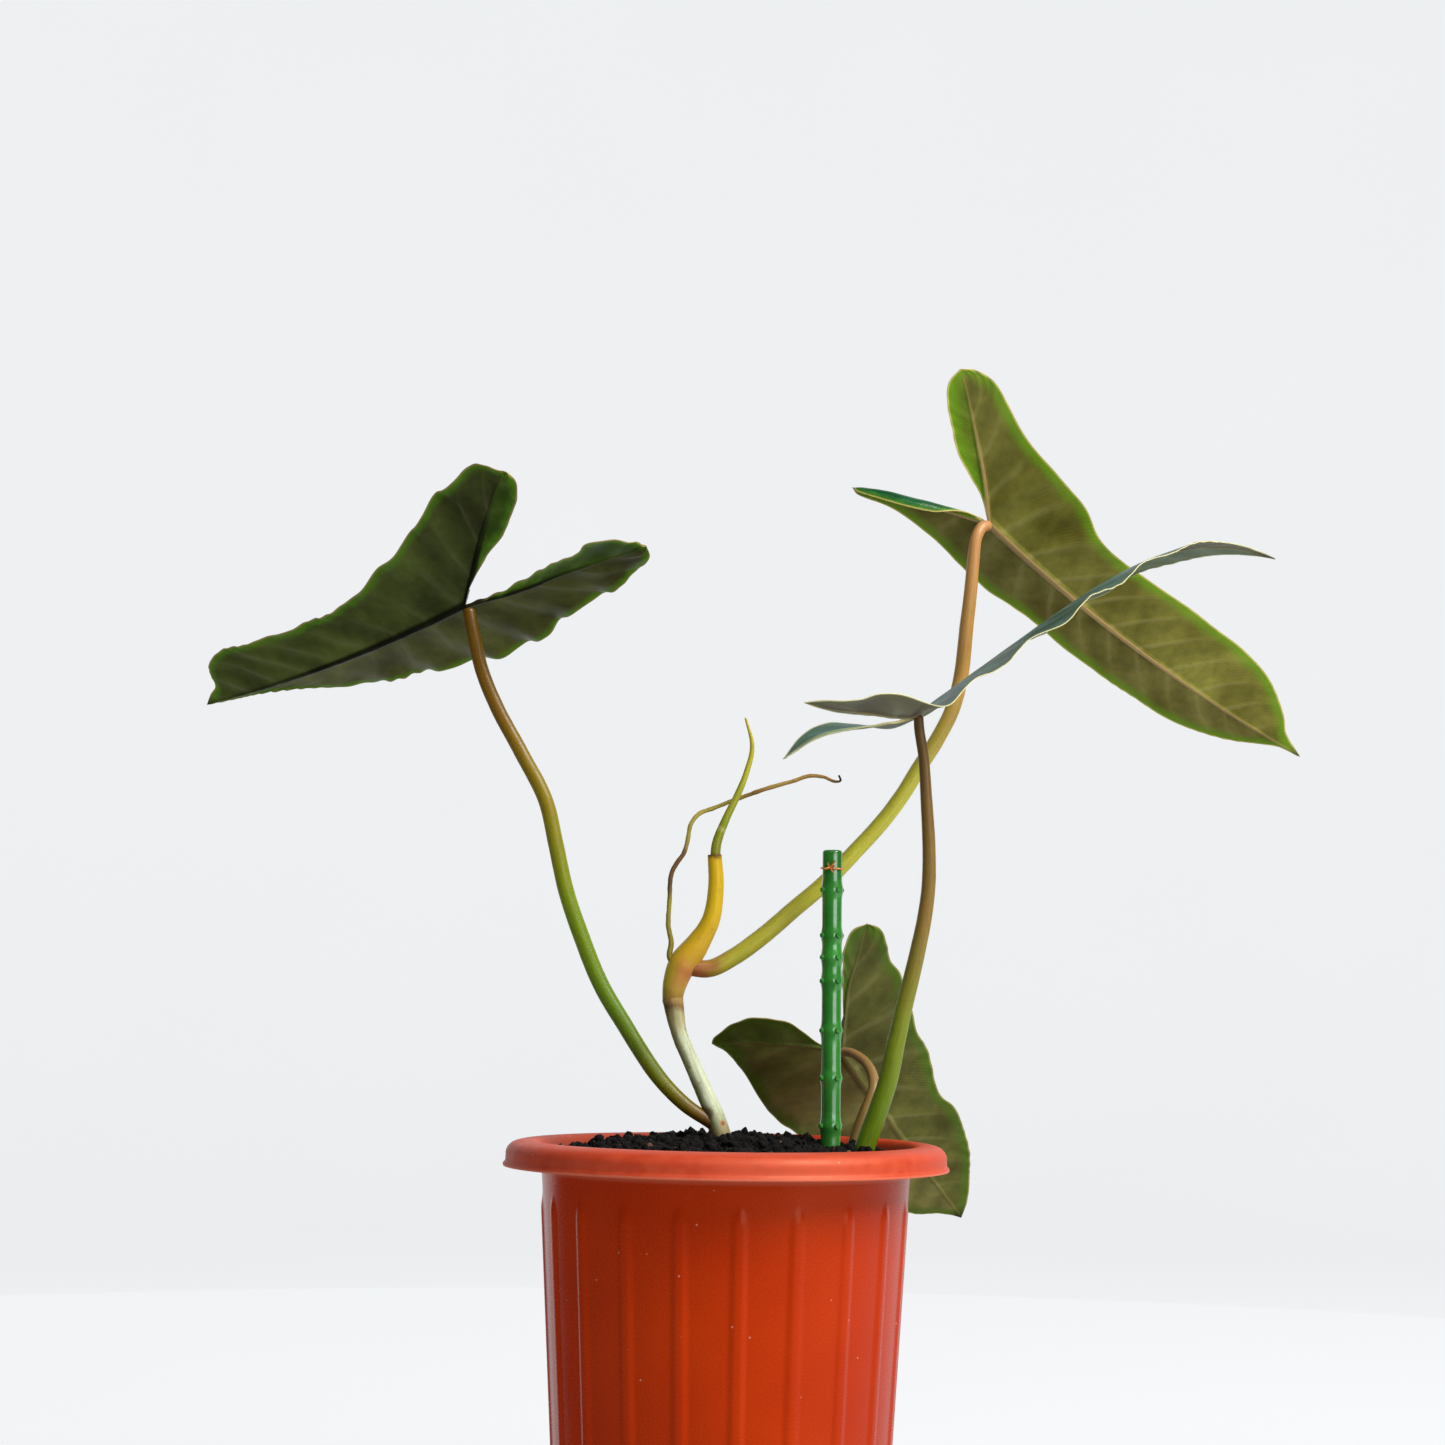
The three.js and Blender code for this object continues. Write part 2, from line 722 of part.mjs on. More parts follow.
// The blade as one thin closed solid, thicker below along its ribs. With room, it is that much
// thicker on both faces.
function buildBlade(leaf, room = 0) {
  const sheet = new MeshBuilder();
  const bulges = [];
  const indexOf = ({ place, bulge }) => {
    const index = sheet.share(place.toArray());
    bulges[index] = Math.max(bulges[index] ?? 0, bulge);
    return index;
  };
  const addStrip = (rows, turned) => {
    const indexed = rows.map((row) => row.map(indexOf));
    for (let i = 0; i + 1 < indexed.length; i++) {
      for (let j = 0; j + 1 < indexed[i].length; j++) {
        const corners = [indexed[i][j], indexed[i][j + 1], indexed[i + 1][j + 1], indexed[i + 1][j]];
        if (turned) corners.reverse();
        sheet.quad(...corners);
      }
    }
  };
  for (const [half, sign] of [[leaf.left, 1], [leaf.right, -1]]) {
    const { outer, inner } = halfRows(leaf, half, sign);
    addStrip(outer, sign < 0);
    addStrip(inner, sign > 0);
  }
  const blade = thicken(sheet, bulges, BLADE_THICKNESS / 2 + room);
  return blade.applyMatrix4(bladeFrame(leaf));
}

// The tools that cut a stalk clear of its blade: the blade with room, and again a little further back.
function bladeSeats(leaf) {
  const seat = buildBlade(leaf, CLEARANCE);
  const back = vec(leaf.tip).setLength(-CLEARANCE);
  return [seat, seat.clone().translate(...back.toArray())];
}

// Soil: fills the pot and is heaped round the stem, with plain holes for what stands in it

const SOIL_EDGE_RADIUS = innerRadius(SOIL_EDGE_HEIGHT) + 0.9; // the rim's inside flares there
const SOIL_RINGS = [91, 78, 64, 50, 36, 23, 11, 0];
const SOIL_SHOULDER = 219;
const SOIL_PROFILE = [
  [0, POT_FLOOR + CLEARANCE],
  [innerRadius(INSIDE_FOOT) - INSIDE_TURN - CLEARANCE, POT_FLOOR + CLEARANCE],
  [innerRadius(INSIDE_FOOT) - CLEARANCE, INSIDE_FOOT + CLEARANCE],
  [innerRadius(SOIL_SHOULDER) - CLEARANCE, SOIL_SHOULDER],
  [SOIL_EDGE_RADIUS, SOIL_EDGE_HEIGHT],
  ...SOIL_RINGS.map((radius) => [radius, SOIL_EDGE_HEIGHT + SOIL_MOUND]),
];

// Lays the top of the soil as a mound with crossing waves for its lumps.
function heapSoil([radius, height], angle) {
  if (height <= SOIL_EDGE_HEIGHT) return [radius, height];
  const share = radius / SOIL_EDGE_RADIUS;
  const x = radius * Math.sin(angle);
  const y = radius * Math.cos(angle);
  const coarse = Math.sin(x * 0.31 + 1.3) * Math.cos(y * 0.27);
  const fine = 0.7 * Math.sin(x * 0.12 - y * 0.39);
  const mound = SOIL_MOUND * (1 - share ** 2);
  return [radius, SOIL_EDGE_HEIGHT + mound + SOIL_LUMP * (coarse + fine) * (1 - share ** 6)];
}

// Stake: coated tube with a pointed foot and rows of nubs

const STAKE_LENGTH = STAKE_TOP[2] - STAKE_FOOT[2];

function onStakeAxis(height) {
  const share = (height - STAKE_FOOT[2]) / STAKE_LENGTH;
  return vec(STAKE_FOOT).lerp(vec(STAKE_TOP), share);
}

function buildStakeShaft(radius) {
  const profile = [
    [0, 0],
    [radius, STAKE_POINT],
    [radius, STAKE_LENGTH - STAKE_EDGE],
    [radius - STAKE_EDGE, STAKE_LENGTH],
    [0, STAKE_LENGTH],
  ];
  const shaft = revolve(profile, evenAngles(STAKE_SIDES));
  shaft.rotateY(Math.atan2(STAKE_TOP[0] - STAKE_FOOT[0], STAKE_LENGTH));
  shaft.translate(...STAKE_FOOT);
  return shaft;
}

function buildStake() {
  const nubs = [];
  for (const height of STAKE_NUB_HEIGHTS) {
    for (let i = 0; i < STAKE_NUBS_IN_ROW; i++) {
      const length = 2 * STAKE_NUB_PROUD;
      const nub = new THREE.CylinderGeometry(STAKE_NUB_RADIUS, STAKE_NUB_TIP_RADIUS, length, STAKE_NUB_SIDES);
      nub.rotateX(Math.PI / 2);
      nub.translate(0, -STAKE_RADIUS, 0);
      nub.rotateZ(rad(STAKE_NUB_ANGLE + (360 / STAKE_NUBS_IN_ROW) * i));
      nub.translate(...onStakeAxis(height).toArray());
      nubs.push(nub);
    }
  }
  return join(buildStakeShaft(STAKE_RADIUS), ...nubs);
}

// Tie: one turn of wire round the stake, its ends twisted into a small star at the front

const TIE_RADIUS = STAKE_RADIUS + CLEARANCE + TIE_WIRE_RADIUS;
const TIE_KNOT = [-1.5, -TIE_RADIUS - 0.1, 0]; // from the ring's centre
const TIE_ENDS = [
  [-3.2, -1.4, -1],
  [2.6, -1.6, 1.2],
  [-1.2, -1.8, 2.8],
  [1.4, -1.8, -2.6],
  [3.2, -0.6, 4.2],
];

function buildTie() {
  const centre = onStakeAxis(TIE_HEIGHT);
  const ring = new THREE.TorusGeometry(TIE_RADIUS, TIE_WIRE_RADIUS, TIE_WIRE_SIDES, TIE_SIDES);
  ring.rotateX(rad(TIE_SLANT));
  ring.translate(...centre.toArray());
  const knot = vec(TIE_KNOT).add(centre);
  const radii = [TIE_WIRE_RADIUS * 1.2, TIE_WIRE_RADIUS * 0.7];
  const ends = TIE_ENDS.map((end) => {
    const route = [knot.toArray(), knot.clone().add(vec(end)).toArray()];
    return tube({ route, radii, steps: 1, sides: TIE_END_SIDES });
  });
  return join(ring, ...ends);
}

// The pieces, each cut clear of what it grows from or stands in

const stemSeat = tube(MAIN_STEM, CLEARANCE);
const sheathSeat = tube(SHEATH, CLEARANCE);
const stakeSeat = buildStakeShaft(STAKE_RADIUS + CLEARANCE);
const soilBlank = revolve(SOIL_PROFILE, evenAngles(SOIL_SIDES), heapSoil);

const pot = buildPot();
const stalkSeats = [PETIOLE_RIGHT, PETIOLE_LOW].map((stalk) => tube(stalk, CLEARANCE));
const soil = cutAway(soilBlank, stemSeat, ...stalkSeats, stakeSeat);
const mainStem = tube(MAIN_STEM);
const sheath = cutAway(tube(SHEATH), stemSeat, tube(LEAF_SPIKE, CLEARANCE));
const leafSpike = tube(LEAF_SPIKE);
const aerialRoot = cutAway(tube(AERIAL_ROOT), sheathSeat);
const petioleLeft = cutAway(tube(PETIOLE_LEFT), stemSeat, ...bladeSeats(LEAF_LEFT));
const petioleUpperRight = cutAway(tube(PETIOLE_UPPER_RIGHT), sheathSeat, ...bladeSeats(LEAF_UPPER_RIGHT));
const petioleRight = cutAway(tube(PETIOLE_RIGHT), ...bladeSeats(LEAF_RIGHT));
const petioleLow = cutAway(tube(PETIOLE_LOW), ...bladeSeats(LEAF_LOW));

// Colours and finishes as the real surfaces have them

const finish = (color, roughness, metalness = 0) =>
  new THREE.MeshStandardMaterial({ color, roughness, metalness, flatShading: true });
const TERRACOTTA_PLASTIC = finish(0xc84a2c, 0.45);
const POTTING_SOIL = finish(0x1d1a18, 0.95);
const PALE_STEM = finish(0xa9b28a, 0.6);
const GREEN_STALK = finish(0x8a8a35, 0.5);
const DARK_LEAF = finish(0x3c4a26, 0.45);
const GLAUCOUS_LEAF = finish(0x55695c, 0.45);
const YELLOW_SHEATH = finish(0xe0b733, 0.45);
const YOUNG_LEAF = finish(0xa3a42c, 0.45);
const ROOT_SKIN = finish(0x8f7a35, 0.7);
const GREEN_COATING = finish(0x2f7d3c, 0.35);
const COPPER_WIRE = finish(0xb8652f, 0.4, 0.8);

const plant = new THREE.Group();

function addPiece(name, geometry, material) {
  const mesh = new THREE.Mesh(geometry, material);
  mesh.name = name;
  plant.add(mesh);
}

addPiece("pot", pot, TERRACOTTA_PLASTIC);
addPiece("soil", soil, POTTING_SOIL);
addPiece("main_stem", mainStem, PALE_STEM);
addPiece("sheath", sheath, YELLOW_SHEATH);
addPiece("leaf_spike", leafSpike, YOUNG_LEAF);
addPiece("aerial_root", aerialRoot, ROOT_SKIN);
addPiece("petiole_left", petioleLeft, GREEN_STALK);
addPiece("petiole_upper_right", petioleUpperRight, GREEN_STALK);
addPiece("petiole_right", petioleRight, GREEN_STALK);
addPiece("petiole_low", petioleLow, GREEN_STALK);
addPiece("blade_left", buildBlade(LEAF_LEFT), DARK_LEAF);
addPiece("blade_upper_right", buildBlade(LEAF_UPPER_RIGHT), DARK_LEAF);
addPiece("blade_right", buildBlade(LEAF_RIGHT), GLAUCOUS_LEAF);
addPiece("blade_low", buildBlade(LEAF_LOW), DARK_LEAF);
addPiece("plant_stake", buildStake(), GREEN_COATING);
addPiece("twist_tie", buildTie(), COPPER_WIRE);

export default plant;
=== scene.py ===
# The looks of a potted philodendron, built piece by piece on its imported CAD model.
# Lengths are in millimetres where a line says so, and turned to metres with MM.
import math

import bpy
import numpy as np
from mathutils import Matrix, Vector


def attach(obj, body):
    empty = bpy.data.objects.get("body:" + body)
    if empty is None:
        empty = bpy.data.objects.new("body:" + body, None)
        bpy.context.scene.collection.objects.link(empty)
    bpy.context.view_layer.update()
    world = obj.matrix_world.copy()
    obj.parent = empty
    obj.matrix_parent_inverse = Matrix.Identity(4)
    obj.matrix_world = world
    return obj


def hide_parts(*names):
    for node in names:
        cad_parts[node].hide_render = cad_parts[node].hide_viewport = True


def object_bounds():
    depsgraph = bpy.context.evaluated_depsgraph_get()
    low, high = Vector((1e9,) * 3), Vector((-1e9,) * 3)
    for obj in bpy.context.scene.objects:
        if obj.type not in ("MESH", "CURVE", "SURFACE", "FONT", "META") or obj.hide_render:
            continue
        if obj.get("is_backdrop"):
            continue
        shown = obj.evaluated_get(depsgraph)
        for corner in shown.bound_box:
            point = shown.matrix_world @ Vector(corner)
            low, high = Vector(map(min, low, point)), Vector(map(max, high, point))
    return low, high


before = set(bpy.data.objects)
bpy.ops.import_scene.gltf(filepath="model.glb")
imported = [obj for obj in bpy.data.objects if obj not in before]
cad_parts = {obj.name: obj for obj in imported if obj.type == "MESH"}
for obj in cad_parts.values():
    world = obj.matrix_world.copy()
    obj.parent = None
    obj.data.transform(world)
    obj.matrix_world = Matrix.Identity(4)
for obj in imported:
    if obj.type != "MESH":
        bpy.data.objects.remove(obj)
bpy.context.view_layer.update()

# POT
# A nursery pot, injection-moulded in one piece from terracotta-red polypropylene: a tapered wall with
# soft raised ribs, a flat foot with drain holes, and a rolled rim that ends in a thin flared lip.
MM = 0.001
POT_FOOT_RADIUS, POT_TAPER, POT_WALL, POT_FLOOR = 88.3, 0.0589, 2.2, 2.5
RIB_FOOT, RIB_TOP = 8, 208
RIM_UNDERSIDE = [(101.2, 217), (104.3, 230), (109, 232.8), (115.5, 231.6), (119.2, 226), (120.9, 221)]
RIM_LIP = [(120.9, 221), (121.4, 220.9), (122.4, 221), (122.66, 221.5), (122.58, 222.4), (121.5, 223.6)]
RIM_CREST = [
    (121.3, 224), (121.2, 226.8), (121, 229.5), (118, 233.3), (110, 235),
    (104.6, 234.2), (102.2, 231), (99.6, 220), (98.53, 211),
]


def body_radius(height):
    """How far out the pot's wall is at a height, both in mm."""
    return POT_FOOT_RADIUS + POT_TAPER * height


def smooth_line(points):
    """A centripetal Catmull-Rom line through points, as a function of the share of its length."""
    points = np.array(points, float)
    knots = np.array([2 * points[0] - points[1], *points, 2 * points[-1] - points[-2]])

    def place(t):
        t = np.clip(np.asarray(t, float), 0, 1) * (len(points) - 1)
        i = np.minimum(t.astype(int), len(points) - 2)
        w = (t - i)[..., None]
        p0, p1, p2, p3 = (knots[i + k] for k in range(4))
        d0, d1, d2 = (
            np.maximum(np.linalg.norm(b - a, axis=-1), 1e-8)[..., None] ** 0.5
            for a, b in ((p0, p1), (p1, p2), (p2, p3))
        )
        m1 = ((p1 - p0) / d0 - (p2 - p0) / (d0 + d1) + (p2 - p1) / d1) * d1
        m2 = ((p2 - p1) / d1 - (p3 - p1) / (d1 + d2) + (p3 - p2) / d2) * d1
        c2, c3 = 3 * (p2 - p1) - 2 * m1 - m2, 2 * (p1 - p2) + m1 + m2
        return p1 + w * (m1 + w * (c2 + w * c3))

    t = np.linspace(0, 1, 201)
    steps = np.linalg.norm(np.diff(place(t), axis=0), axis=1)
    reach = np.concatenate([[0], np.cumsum(steps)])

    def at(share, slope=False):
        where = np.interp(np.asarray(share, float) * reach[-1], reach, t)
        if not slope:
            return place(where)
        ahead = place(np.minimum(where + 1e-4, 1)) - place(np.maximum(where - 1e-4, 0))
        return ahead / np.linalg.norm(ahead, axis=-1, keepdims=True)

    at.length = reach[-1]
    return at


def new_object(name, data):
    """Puts a mesh, curve, light or camera into the scene as an object."""
    thing = bpy.data.objects.new(name, data)
    bpy.context.scene.collection.objects.link(thing)
    return thing


def new_piece(name, points, faces, smooth_angle=40):
    """A mesh object from points in metres, smooth but for its sharper edges."""
    mesh = bpy.data.meshes.new(name)
    mesh.from_pydata([tuple(p) for p in points], [], [tuple(f) for f in faces])
    mesh.polygons.foreach_set("use_smooth", [True] * len(mesh.polygons))
    if smooth_angle:
        mesh.set_sharp_from_angle(angle=math.radians(smooth_angle))
    return new_object(name, mesh)


def mark(piece, name, values, kind="FLOAT"):
    """Keeps a value for each point of a piece, under a name that its tree or its material reads."""
    piece.data.attributes.new(name, kind, "POINT").data.foreach_set("value", values)


def turned(profile, turns):
    """Points in mm and faces of a form turned about Z; its profile starts and ends on the axis."""
    angles = np.arange(turns) * 2 * np.pi / turns
    radii, heights = np.array(profile[1:-1], float).T
    x, y = np.outer(radii, np.sin(angles)), -np.outer(radii, np.cos(angles))
    z = np.repeat(heights[:, None], turns, axis=1)
    points = [*np.stack([x, y, z], -1).reshape(-1, 3), (0, 0, profile[0][1]), (0, 0, profile[-1][1])]
    foot, top = len(points) - 2, len(points) - 1
    faces = []
    for j in range(turns):
        k = (j + 1) % turns
        faces.append((foot, k, j))
        for i in range(0, foot - turns, turns):
            faces.append((i + j, i + k, i + turns + k, i + turns + j))
        faces.append((foot - turns + j, foot - turns + k, top))
    return np.array(points), faces


def put(tree, kind, links=None, stops=None, **settings):
    """Adds a node: its settings, the stops of its colour ramp, and its inputs as values or links."""
    node = tree.nodes.new(kind)
    for name, value in settings.items():
        setattr(node, name, value)
    if stops:
        ramp = node.color_ramp
        while len(ramp.elements) < len(stops):
            ramp.elements.new(1)
        for element, (place, colour) in zip(ramp.elements, stops):
            element.position, element.color = place, linear(colour)
    for name, value in (links or {}).items():
        sockets = [s for s in node.inputs if s.enabled and name in (s.name, s.identifier)]
        socket = node.inputs[name] if isinstance(name, int) else sockets[0]
        if isinstance(value, bpy.types.Node):
            value = next(s for s in value.outputs if s.enabled)
        if isinstance(value, bpy.types.NodeSocket):
            tree.links.new(value, socket)
        else:
            socket.default_value = linear(value) if str(value).startswith("#") else value
    return node


def linear(colour):
    """An sRGB hex colour as linear RGBA."""
    parts = [int(colour[i:i + 2], 16) / 255 for i in (1, 3, 5)]
    return (*[c / 12.92 if c <= 0.04045 else ((c + 0.055) / 1.055) ** 2.4 for c in parts], 1)


def new_material(name):
    """A material, its tree, and the place on the object by which its patterns are laid out."""
    material = bpy.data.materials.new(name)
    material.use_nodes = True
    tree = material.node_tree
    tree.nodes.clear()
    return material, tree, put(tree, "ShaderNodeTexCoord").outputs["Object"]


def per(millimetres):
    """The scale of a texture whose pattern repeats over that many millimetres."""
    return 1 / (millimetres * MM)


def new_tree(name, sizes):
    """A Geometry Nodes tree with a geometry going in and out and a named input for each size."""
    tree = bpy.data.node_groups.new(name, "GeometryNodeTree")
    tree.interface.new_socket("Geometry", in_out="OUTPUT", socket_type="NodeSocketGeometry")
    for label, kind in {"Geometry": "Geometry", **sizes}.items():
        tree.interface.new_socket(label, in_out="INPUT", socket_type="NodeSocket" + kind)
    return tree, tree.nodes.new("NodeGroupInput").outputs


def grow(piece, tree, sizes):
    """Runs a tree on a piece with these sizes and leaves the result as a plain mesh."""
    modifier = piece.modifiers.new(tree.name, "NODES")
    modifier.node_group = tree
    for socket in tree.interface.items_tree:
        if socket.in_out == "INPUT" and socket.name in sizes:
            modifier[socket.identifier] = sizes[socket.name]
    bpy.context.view_layer.update()
    done = piece.evaluated_get(bpy.context.evaluated_depsgraph_get())
    mesh = bpy.data.meshes.new_from_object(done)
    name = piece.name
    bpy.data.objects.remove(piece)
    return new_object(name, mesh)


def end_tree(tree, geometry, material):
    """Ends a Geometry Nodes tree: sets the material, makes instances real and hands the whole out."""
    dressed = put(tree, "GeometryNodeSetMaterial", {"Geometry": geometry, "Material": material})
    whole = put(tree, "GeometryNodeRealizeInstances", {0: dressed})
    put(tree, "NodeGroupOutput", {0: whole})


def stand_for(piece, node):
    """Puts a piece in the place of the CAD node that it is the looks of."""
    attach(piece, "root")
    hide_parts(node)


# Polypropylene, moulded in a polished tool and scuffed by handling: semi-gloss and even in colour, with
# a faint orange peel. The rim has more scuffs, so it looks lighter and more matt than the wall. Along
# the lip's lower edge a paler band is a painted highlight.
RIM_FROM, RIM_FULL, LIP_FROM, LIP_END = 0.217, 0.2215, 0.2218, 0.2226  # metres up the pot
pot_plastic, tree, place = new_material("terracotta_polypropylene")
height = put(tree, "ShaderNodeSeparateXYZ", {0: place}).outputs["Z"]
cloud = put(tree, "ShaderNodeTexNoise", {"Vector": place, "Scale": per(70), "Detail": 3})
scuff = put(tree, "ShaderNodeTexNoise", {"Vector": place, "Scale": per(9), "Detail": 6, "Roughness": 0.7})
peel = put(tree, "ShaderNodeTexNoise", {"Vector": place, "Scale": per(0.9), "Detail": 2})
rim_share = put(tree, "ShaderNodeMapRange", {
    "Value": height, "From Min": RIM_FROM, "From Max": RIM_FULL})
wall = put(tree, "ShaderNodeValToRGB", {"Fac": cloud}, stops=[(0.0, "#982000"), (1.0, "#b03200")])
rim = put(tree, "ShaderNodeValToRGB", {"Fac": scuff}, stops=[(0.3, "#b03012"), (0.7, "#be4022")])
body = put(tree, "ShaderNodeMix", {"Factor": rim_share, "A": wall, "B": rim}, data_type="RGBA")
# Painted highlight: low on the rim and along the lip's lower edge the colour is mixed towards pale salmon.
lip = put(tree, "ShaderNodeMapRange", {
    "Value": height, "From Min": LIP_FROM, "From Max": LIP_END, "To Min": 0.5, "To Max": 0})
painted_lip_highlight = put(tree, "ShaderNodeMath", {0: lip, 1: rim_share}, operation="MULTIPLY")
body = put(tree, "ShaderNodeMix", {"Factor": painted_lip_highlight, "A": body, "B": "#d8765a"}, data_type="RGBA")
dust = put(tree, "ShaderNodeTexVoronoi", {"Vector": place, "Scale": per(11)})
speck = put(tree, "ShaderNodeMapRange", {
    "Value": dust, "From Min": 0.035, "From Max": 0.06, "To Min": 0.35, "To Max": 0})
colour = put(tree, "ShaderNodeMix", {"Factor": speck, "A": body, "B": "#e8b9a4"}, data_type="RGBA")
rough = put(tree, "ShaderNodeMapRange", {"Value": peel, "To Min": 0.22, "To Max": 0.32})
rim_scuff = put(tree, "ShaderNodeMath", {0: rim_share, 1: scuff}, operation="MULTIPLY")
rougher = put(tree, "ShaderNodeMath", {0: rim_scuff, 1: 0.55, 2: rough}, operation="MULTIPLY_ADD")
bump = put(tree, "ShaderNodeBump", {"Height": peel, "Strength": 0.06, "Distance": 0.05 * MM})
sheen = put(tree, "ShaderNodeMapRange", {"Value": rim_share, "To Min": 0.24, "To Max": 0.85})
shader = put(tree, "ShaderNodeBsdfPrincipled", {
    "Base Color": colour, "Roughness": rougher, "Normal": bump, "IOR": 1.49, "Specular IOR Level": sheen,
    "Specular Tint": "#ffd4b0"})
put(tree, "ShaderNodeOutputMaterial", {"Surface": shader})

# Round the pot at even angles, the wall is raised into ribs, which run out softly at both ends. Where
# the mesh isn't the wall's outside, outer_wall is 0. The drain holes are cut through the floor.
DRILL_DEPTH = 10  # mm: more than the floor's thickness
pot_tree, given = new_tree("moulded_pot", {
    "Ribs": "Int", "First Rib": "Float", "Rib Half Width": "Float", "Rib Crown": "Float",
    "Rib Proud": "Float", "Rib Foot": "Float", "Rib Top": "Float", "Rib Fade": "Float", "Drains": "Int",
    "Drain Radius": "Float", "Drain Circle": "Float", "Plastic": "Material",
})
place = put(pot_tree, "GeometryNodeInputPosition")
flat = put(pot_tree, "ShaderNodeVectorMath", {0: place, 1: (1, 1, 0)}, operation="MULTIPLY")
part = put(pot_tree, "ShaderNodeSeparateXYZ", {0: place}).outputs
front = put(pot_tree, "ShaderNodeMath", {0: part["Y"], 1: -1}, operation="MULTIPLY")
angle = put(pot_tree, "ShaderNodeMath", {0: part["X"], 1: front}, operation="ARCTAN2")
from_first = put(pot_tree, "ShaderNodeMath", {0: angle, 1: given["First Rib"]}, operation="SUBTRACT")
pitch = put(pot_tree, "ShaderNodeMath", {0: 2 * math.pi, 1: given["Ribs"]}, operation="DIVIDE")
half_pitch = put(pot_tree, "ShaderNodeMath", {0: pitch, 1: 2}, operation="DIVIDE")
from_rib = put(pot_tree, "ShaderNodeMath", {0: from_first, 1: half_pitch}, operation="PINGPONG")
radius = put(pot_tree, "ShaderNodeVectorMath", {0: flat}, operation="LENGTH").outputs["Value"]
beside = put(pot_tree, "ShaderNodeMath", {0: from_rib, 1: radius}, operation="MULTIPLY")
run_out = put(pot_tree, "ShaderNodeMath", {
    0: given["Rib Half Width"], 1: given["Rib Fade"]}, operation="DIVIDE")
top = put(pot_tree, "ShaderNodeMath", {0: given["Rib Top"], 1: run_out}, operation="SUBTRACT")
foot = put(pot_tree, "ShaderNodeMath", {0: given["Rib Foot"], 1: run_out}, operation="ADD")
over = put(pot_tree, "ShaderNodeMath", {0: part["Z"], 1: top}, operation="SUBTRACT")
under = put(pot_tree, "ShaderNodeMath", {0: foot, 1: part["Z"]}, operation="SUBTRACT")
past = put(pot_tree, "ShaderNodeMath", {0: over, 1: under}, operation="MAXIMUM")
beyond = put(pot_tree, "ShaderNodeMath", {0: past, 1: 0}, operation="MAXIMUM")
fading = put(pot_tree, "ShaderNodeMath", {0: beyond, 1: given["Rib Fade"]}, operation="MULTIPLY")
gap = put(pot_tree, "ShaderNodeCombineXYZ", {0: beside, 1: fading})
distance = put(pot_tree, "ShaderNodeVectorMath", {0: gap}, operation="LENGTH").outputs["Value"]
share = put(pot_tree, "ShaderNodeMapRange", {
    "Value": distance, "From Min": given["Rib Half Width"], "From Max": given["Rib Crown"]},
    interpolation_type="SMOOTHSTEP")
raised = put(pot_tree, "ShaderNodeMath", {0: share, 1: given["Rib Proud"]}, operation="MULTIPLY")
wall_side = put(pot_tree, "GeometryNodeInputNamedAttribute", {"Name": "outer_wall"}, data_type="FLOAT")
raise_by = put(pot_tree, "ShaderNodeMath", {0: raised, 1: wall_side}, operation="MULTIPLY")
outward = put(pot_tree, "ShaderNodeVectorMath", {0: flat}, operation="NORMALIZE")
offset = put(pot_tree, "ShaderNodeVectorMath", {0: outward, "Scale": raise_by}, operation="SCALE")
ribbed = put(pot_tree, "GeometryNodeSetPosition", {"Geometry": given["Geometry"], "Offset": offset})
circle = put(pot_tree, "GeometryNodeMeshCircle", {
    "Vertices": given["Drains"], "Radius": given["Drain Circle"]})
drill = put(pot_tree, "GeometryNodeMeshCylinder", {
    "Vertices": 32, "Radius": given["Drain Radius"], "Depth": DRILL_DEPTH * MM})
drills = put(pot_tree, "GeometryNodeInstanceOnPoints", {"Points": circle, "Instance": drill})
cutters = put(pot_tree, "GeometryNodeRealizeInstances", {0: drills})
holed = put(pot_tree, "GeometryNodeMeshBoolean", {"Mesh 1": ribbed, "Mesh 2": cutters},
            operation="DIFFERENCE", solver="EXACT")
end_tree(pot_tree, holed, given["Plastic"])

WALL_FROM, WALL_TO = 2.9, 213  # mm up: between these, a point at the wall's radius is on its outside
wall_heights = [3, 8, *np.linspace(9, 24, 12), 60, 110, 160, *np.linspace(190, 208, 16), 212]
outer = [(body_radius(z), z) for z in wall_heights]
rim = [(float(r), float(z)) for r, z in smooth_line(RIM_UNDERSIDE)(np.linspace(0, 1, 22))]
crest = [(float(r), float(z)) for r, z in smooth_line(RIM_CREST)(np.linspace(0, 1, 34))]
inside_foot = body_radius(6) - POT_WALL
inside = [(inside_foot, 6), (inside_foot - 0.4, 4.3), (inside_foot - 1.2, 3), (inside_foot - 2.5, POT_FLOOR)]
foot_edge = [(0, 0), (69, 0), (85.3, 0), (87.2, 0.4), (88.2, 1.3)]
profile = [*foot_edge, *outer, *rim, *RIM_LIP[1:], *crest, *inside, (69, POT_FLOOR), (0, POT_FLOOR)]
points, faces = turned(profile, turns=640)
pot = new_piece("pot_shell", points * MM, faces, smooth_angle=50)
radii, heights = np.hypot(points[:, 0], points[:, 1]), points[:, 2]
on_wall = (np.abs(radii - body_radius(heights)) < 0.01) & (heights > WALL_FROM) & (heights < WALL_TO)
mark(pot, "outer_wall", on_wall.astype(float))
pot = grow(pot, pot_tree, {
    "Ribs": 20, "First Rib": math.radians(4.3), "Rib Half Width": 5.4 * MM, "Rib Crown": 1.2 * MM,
    "Rib Proud": 1.2 * MM, "Rib Foot": RIB_FOOT * MM, "Rib Top": RIB_TOP * MM, "Rib Fade": 0.4, "Drains": 6,
    "Drain Radius": 5 * MM, "Drain Circle": 55 * MM, "Plastic": pot_plastic,
})
stand_for(pot, "pot")

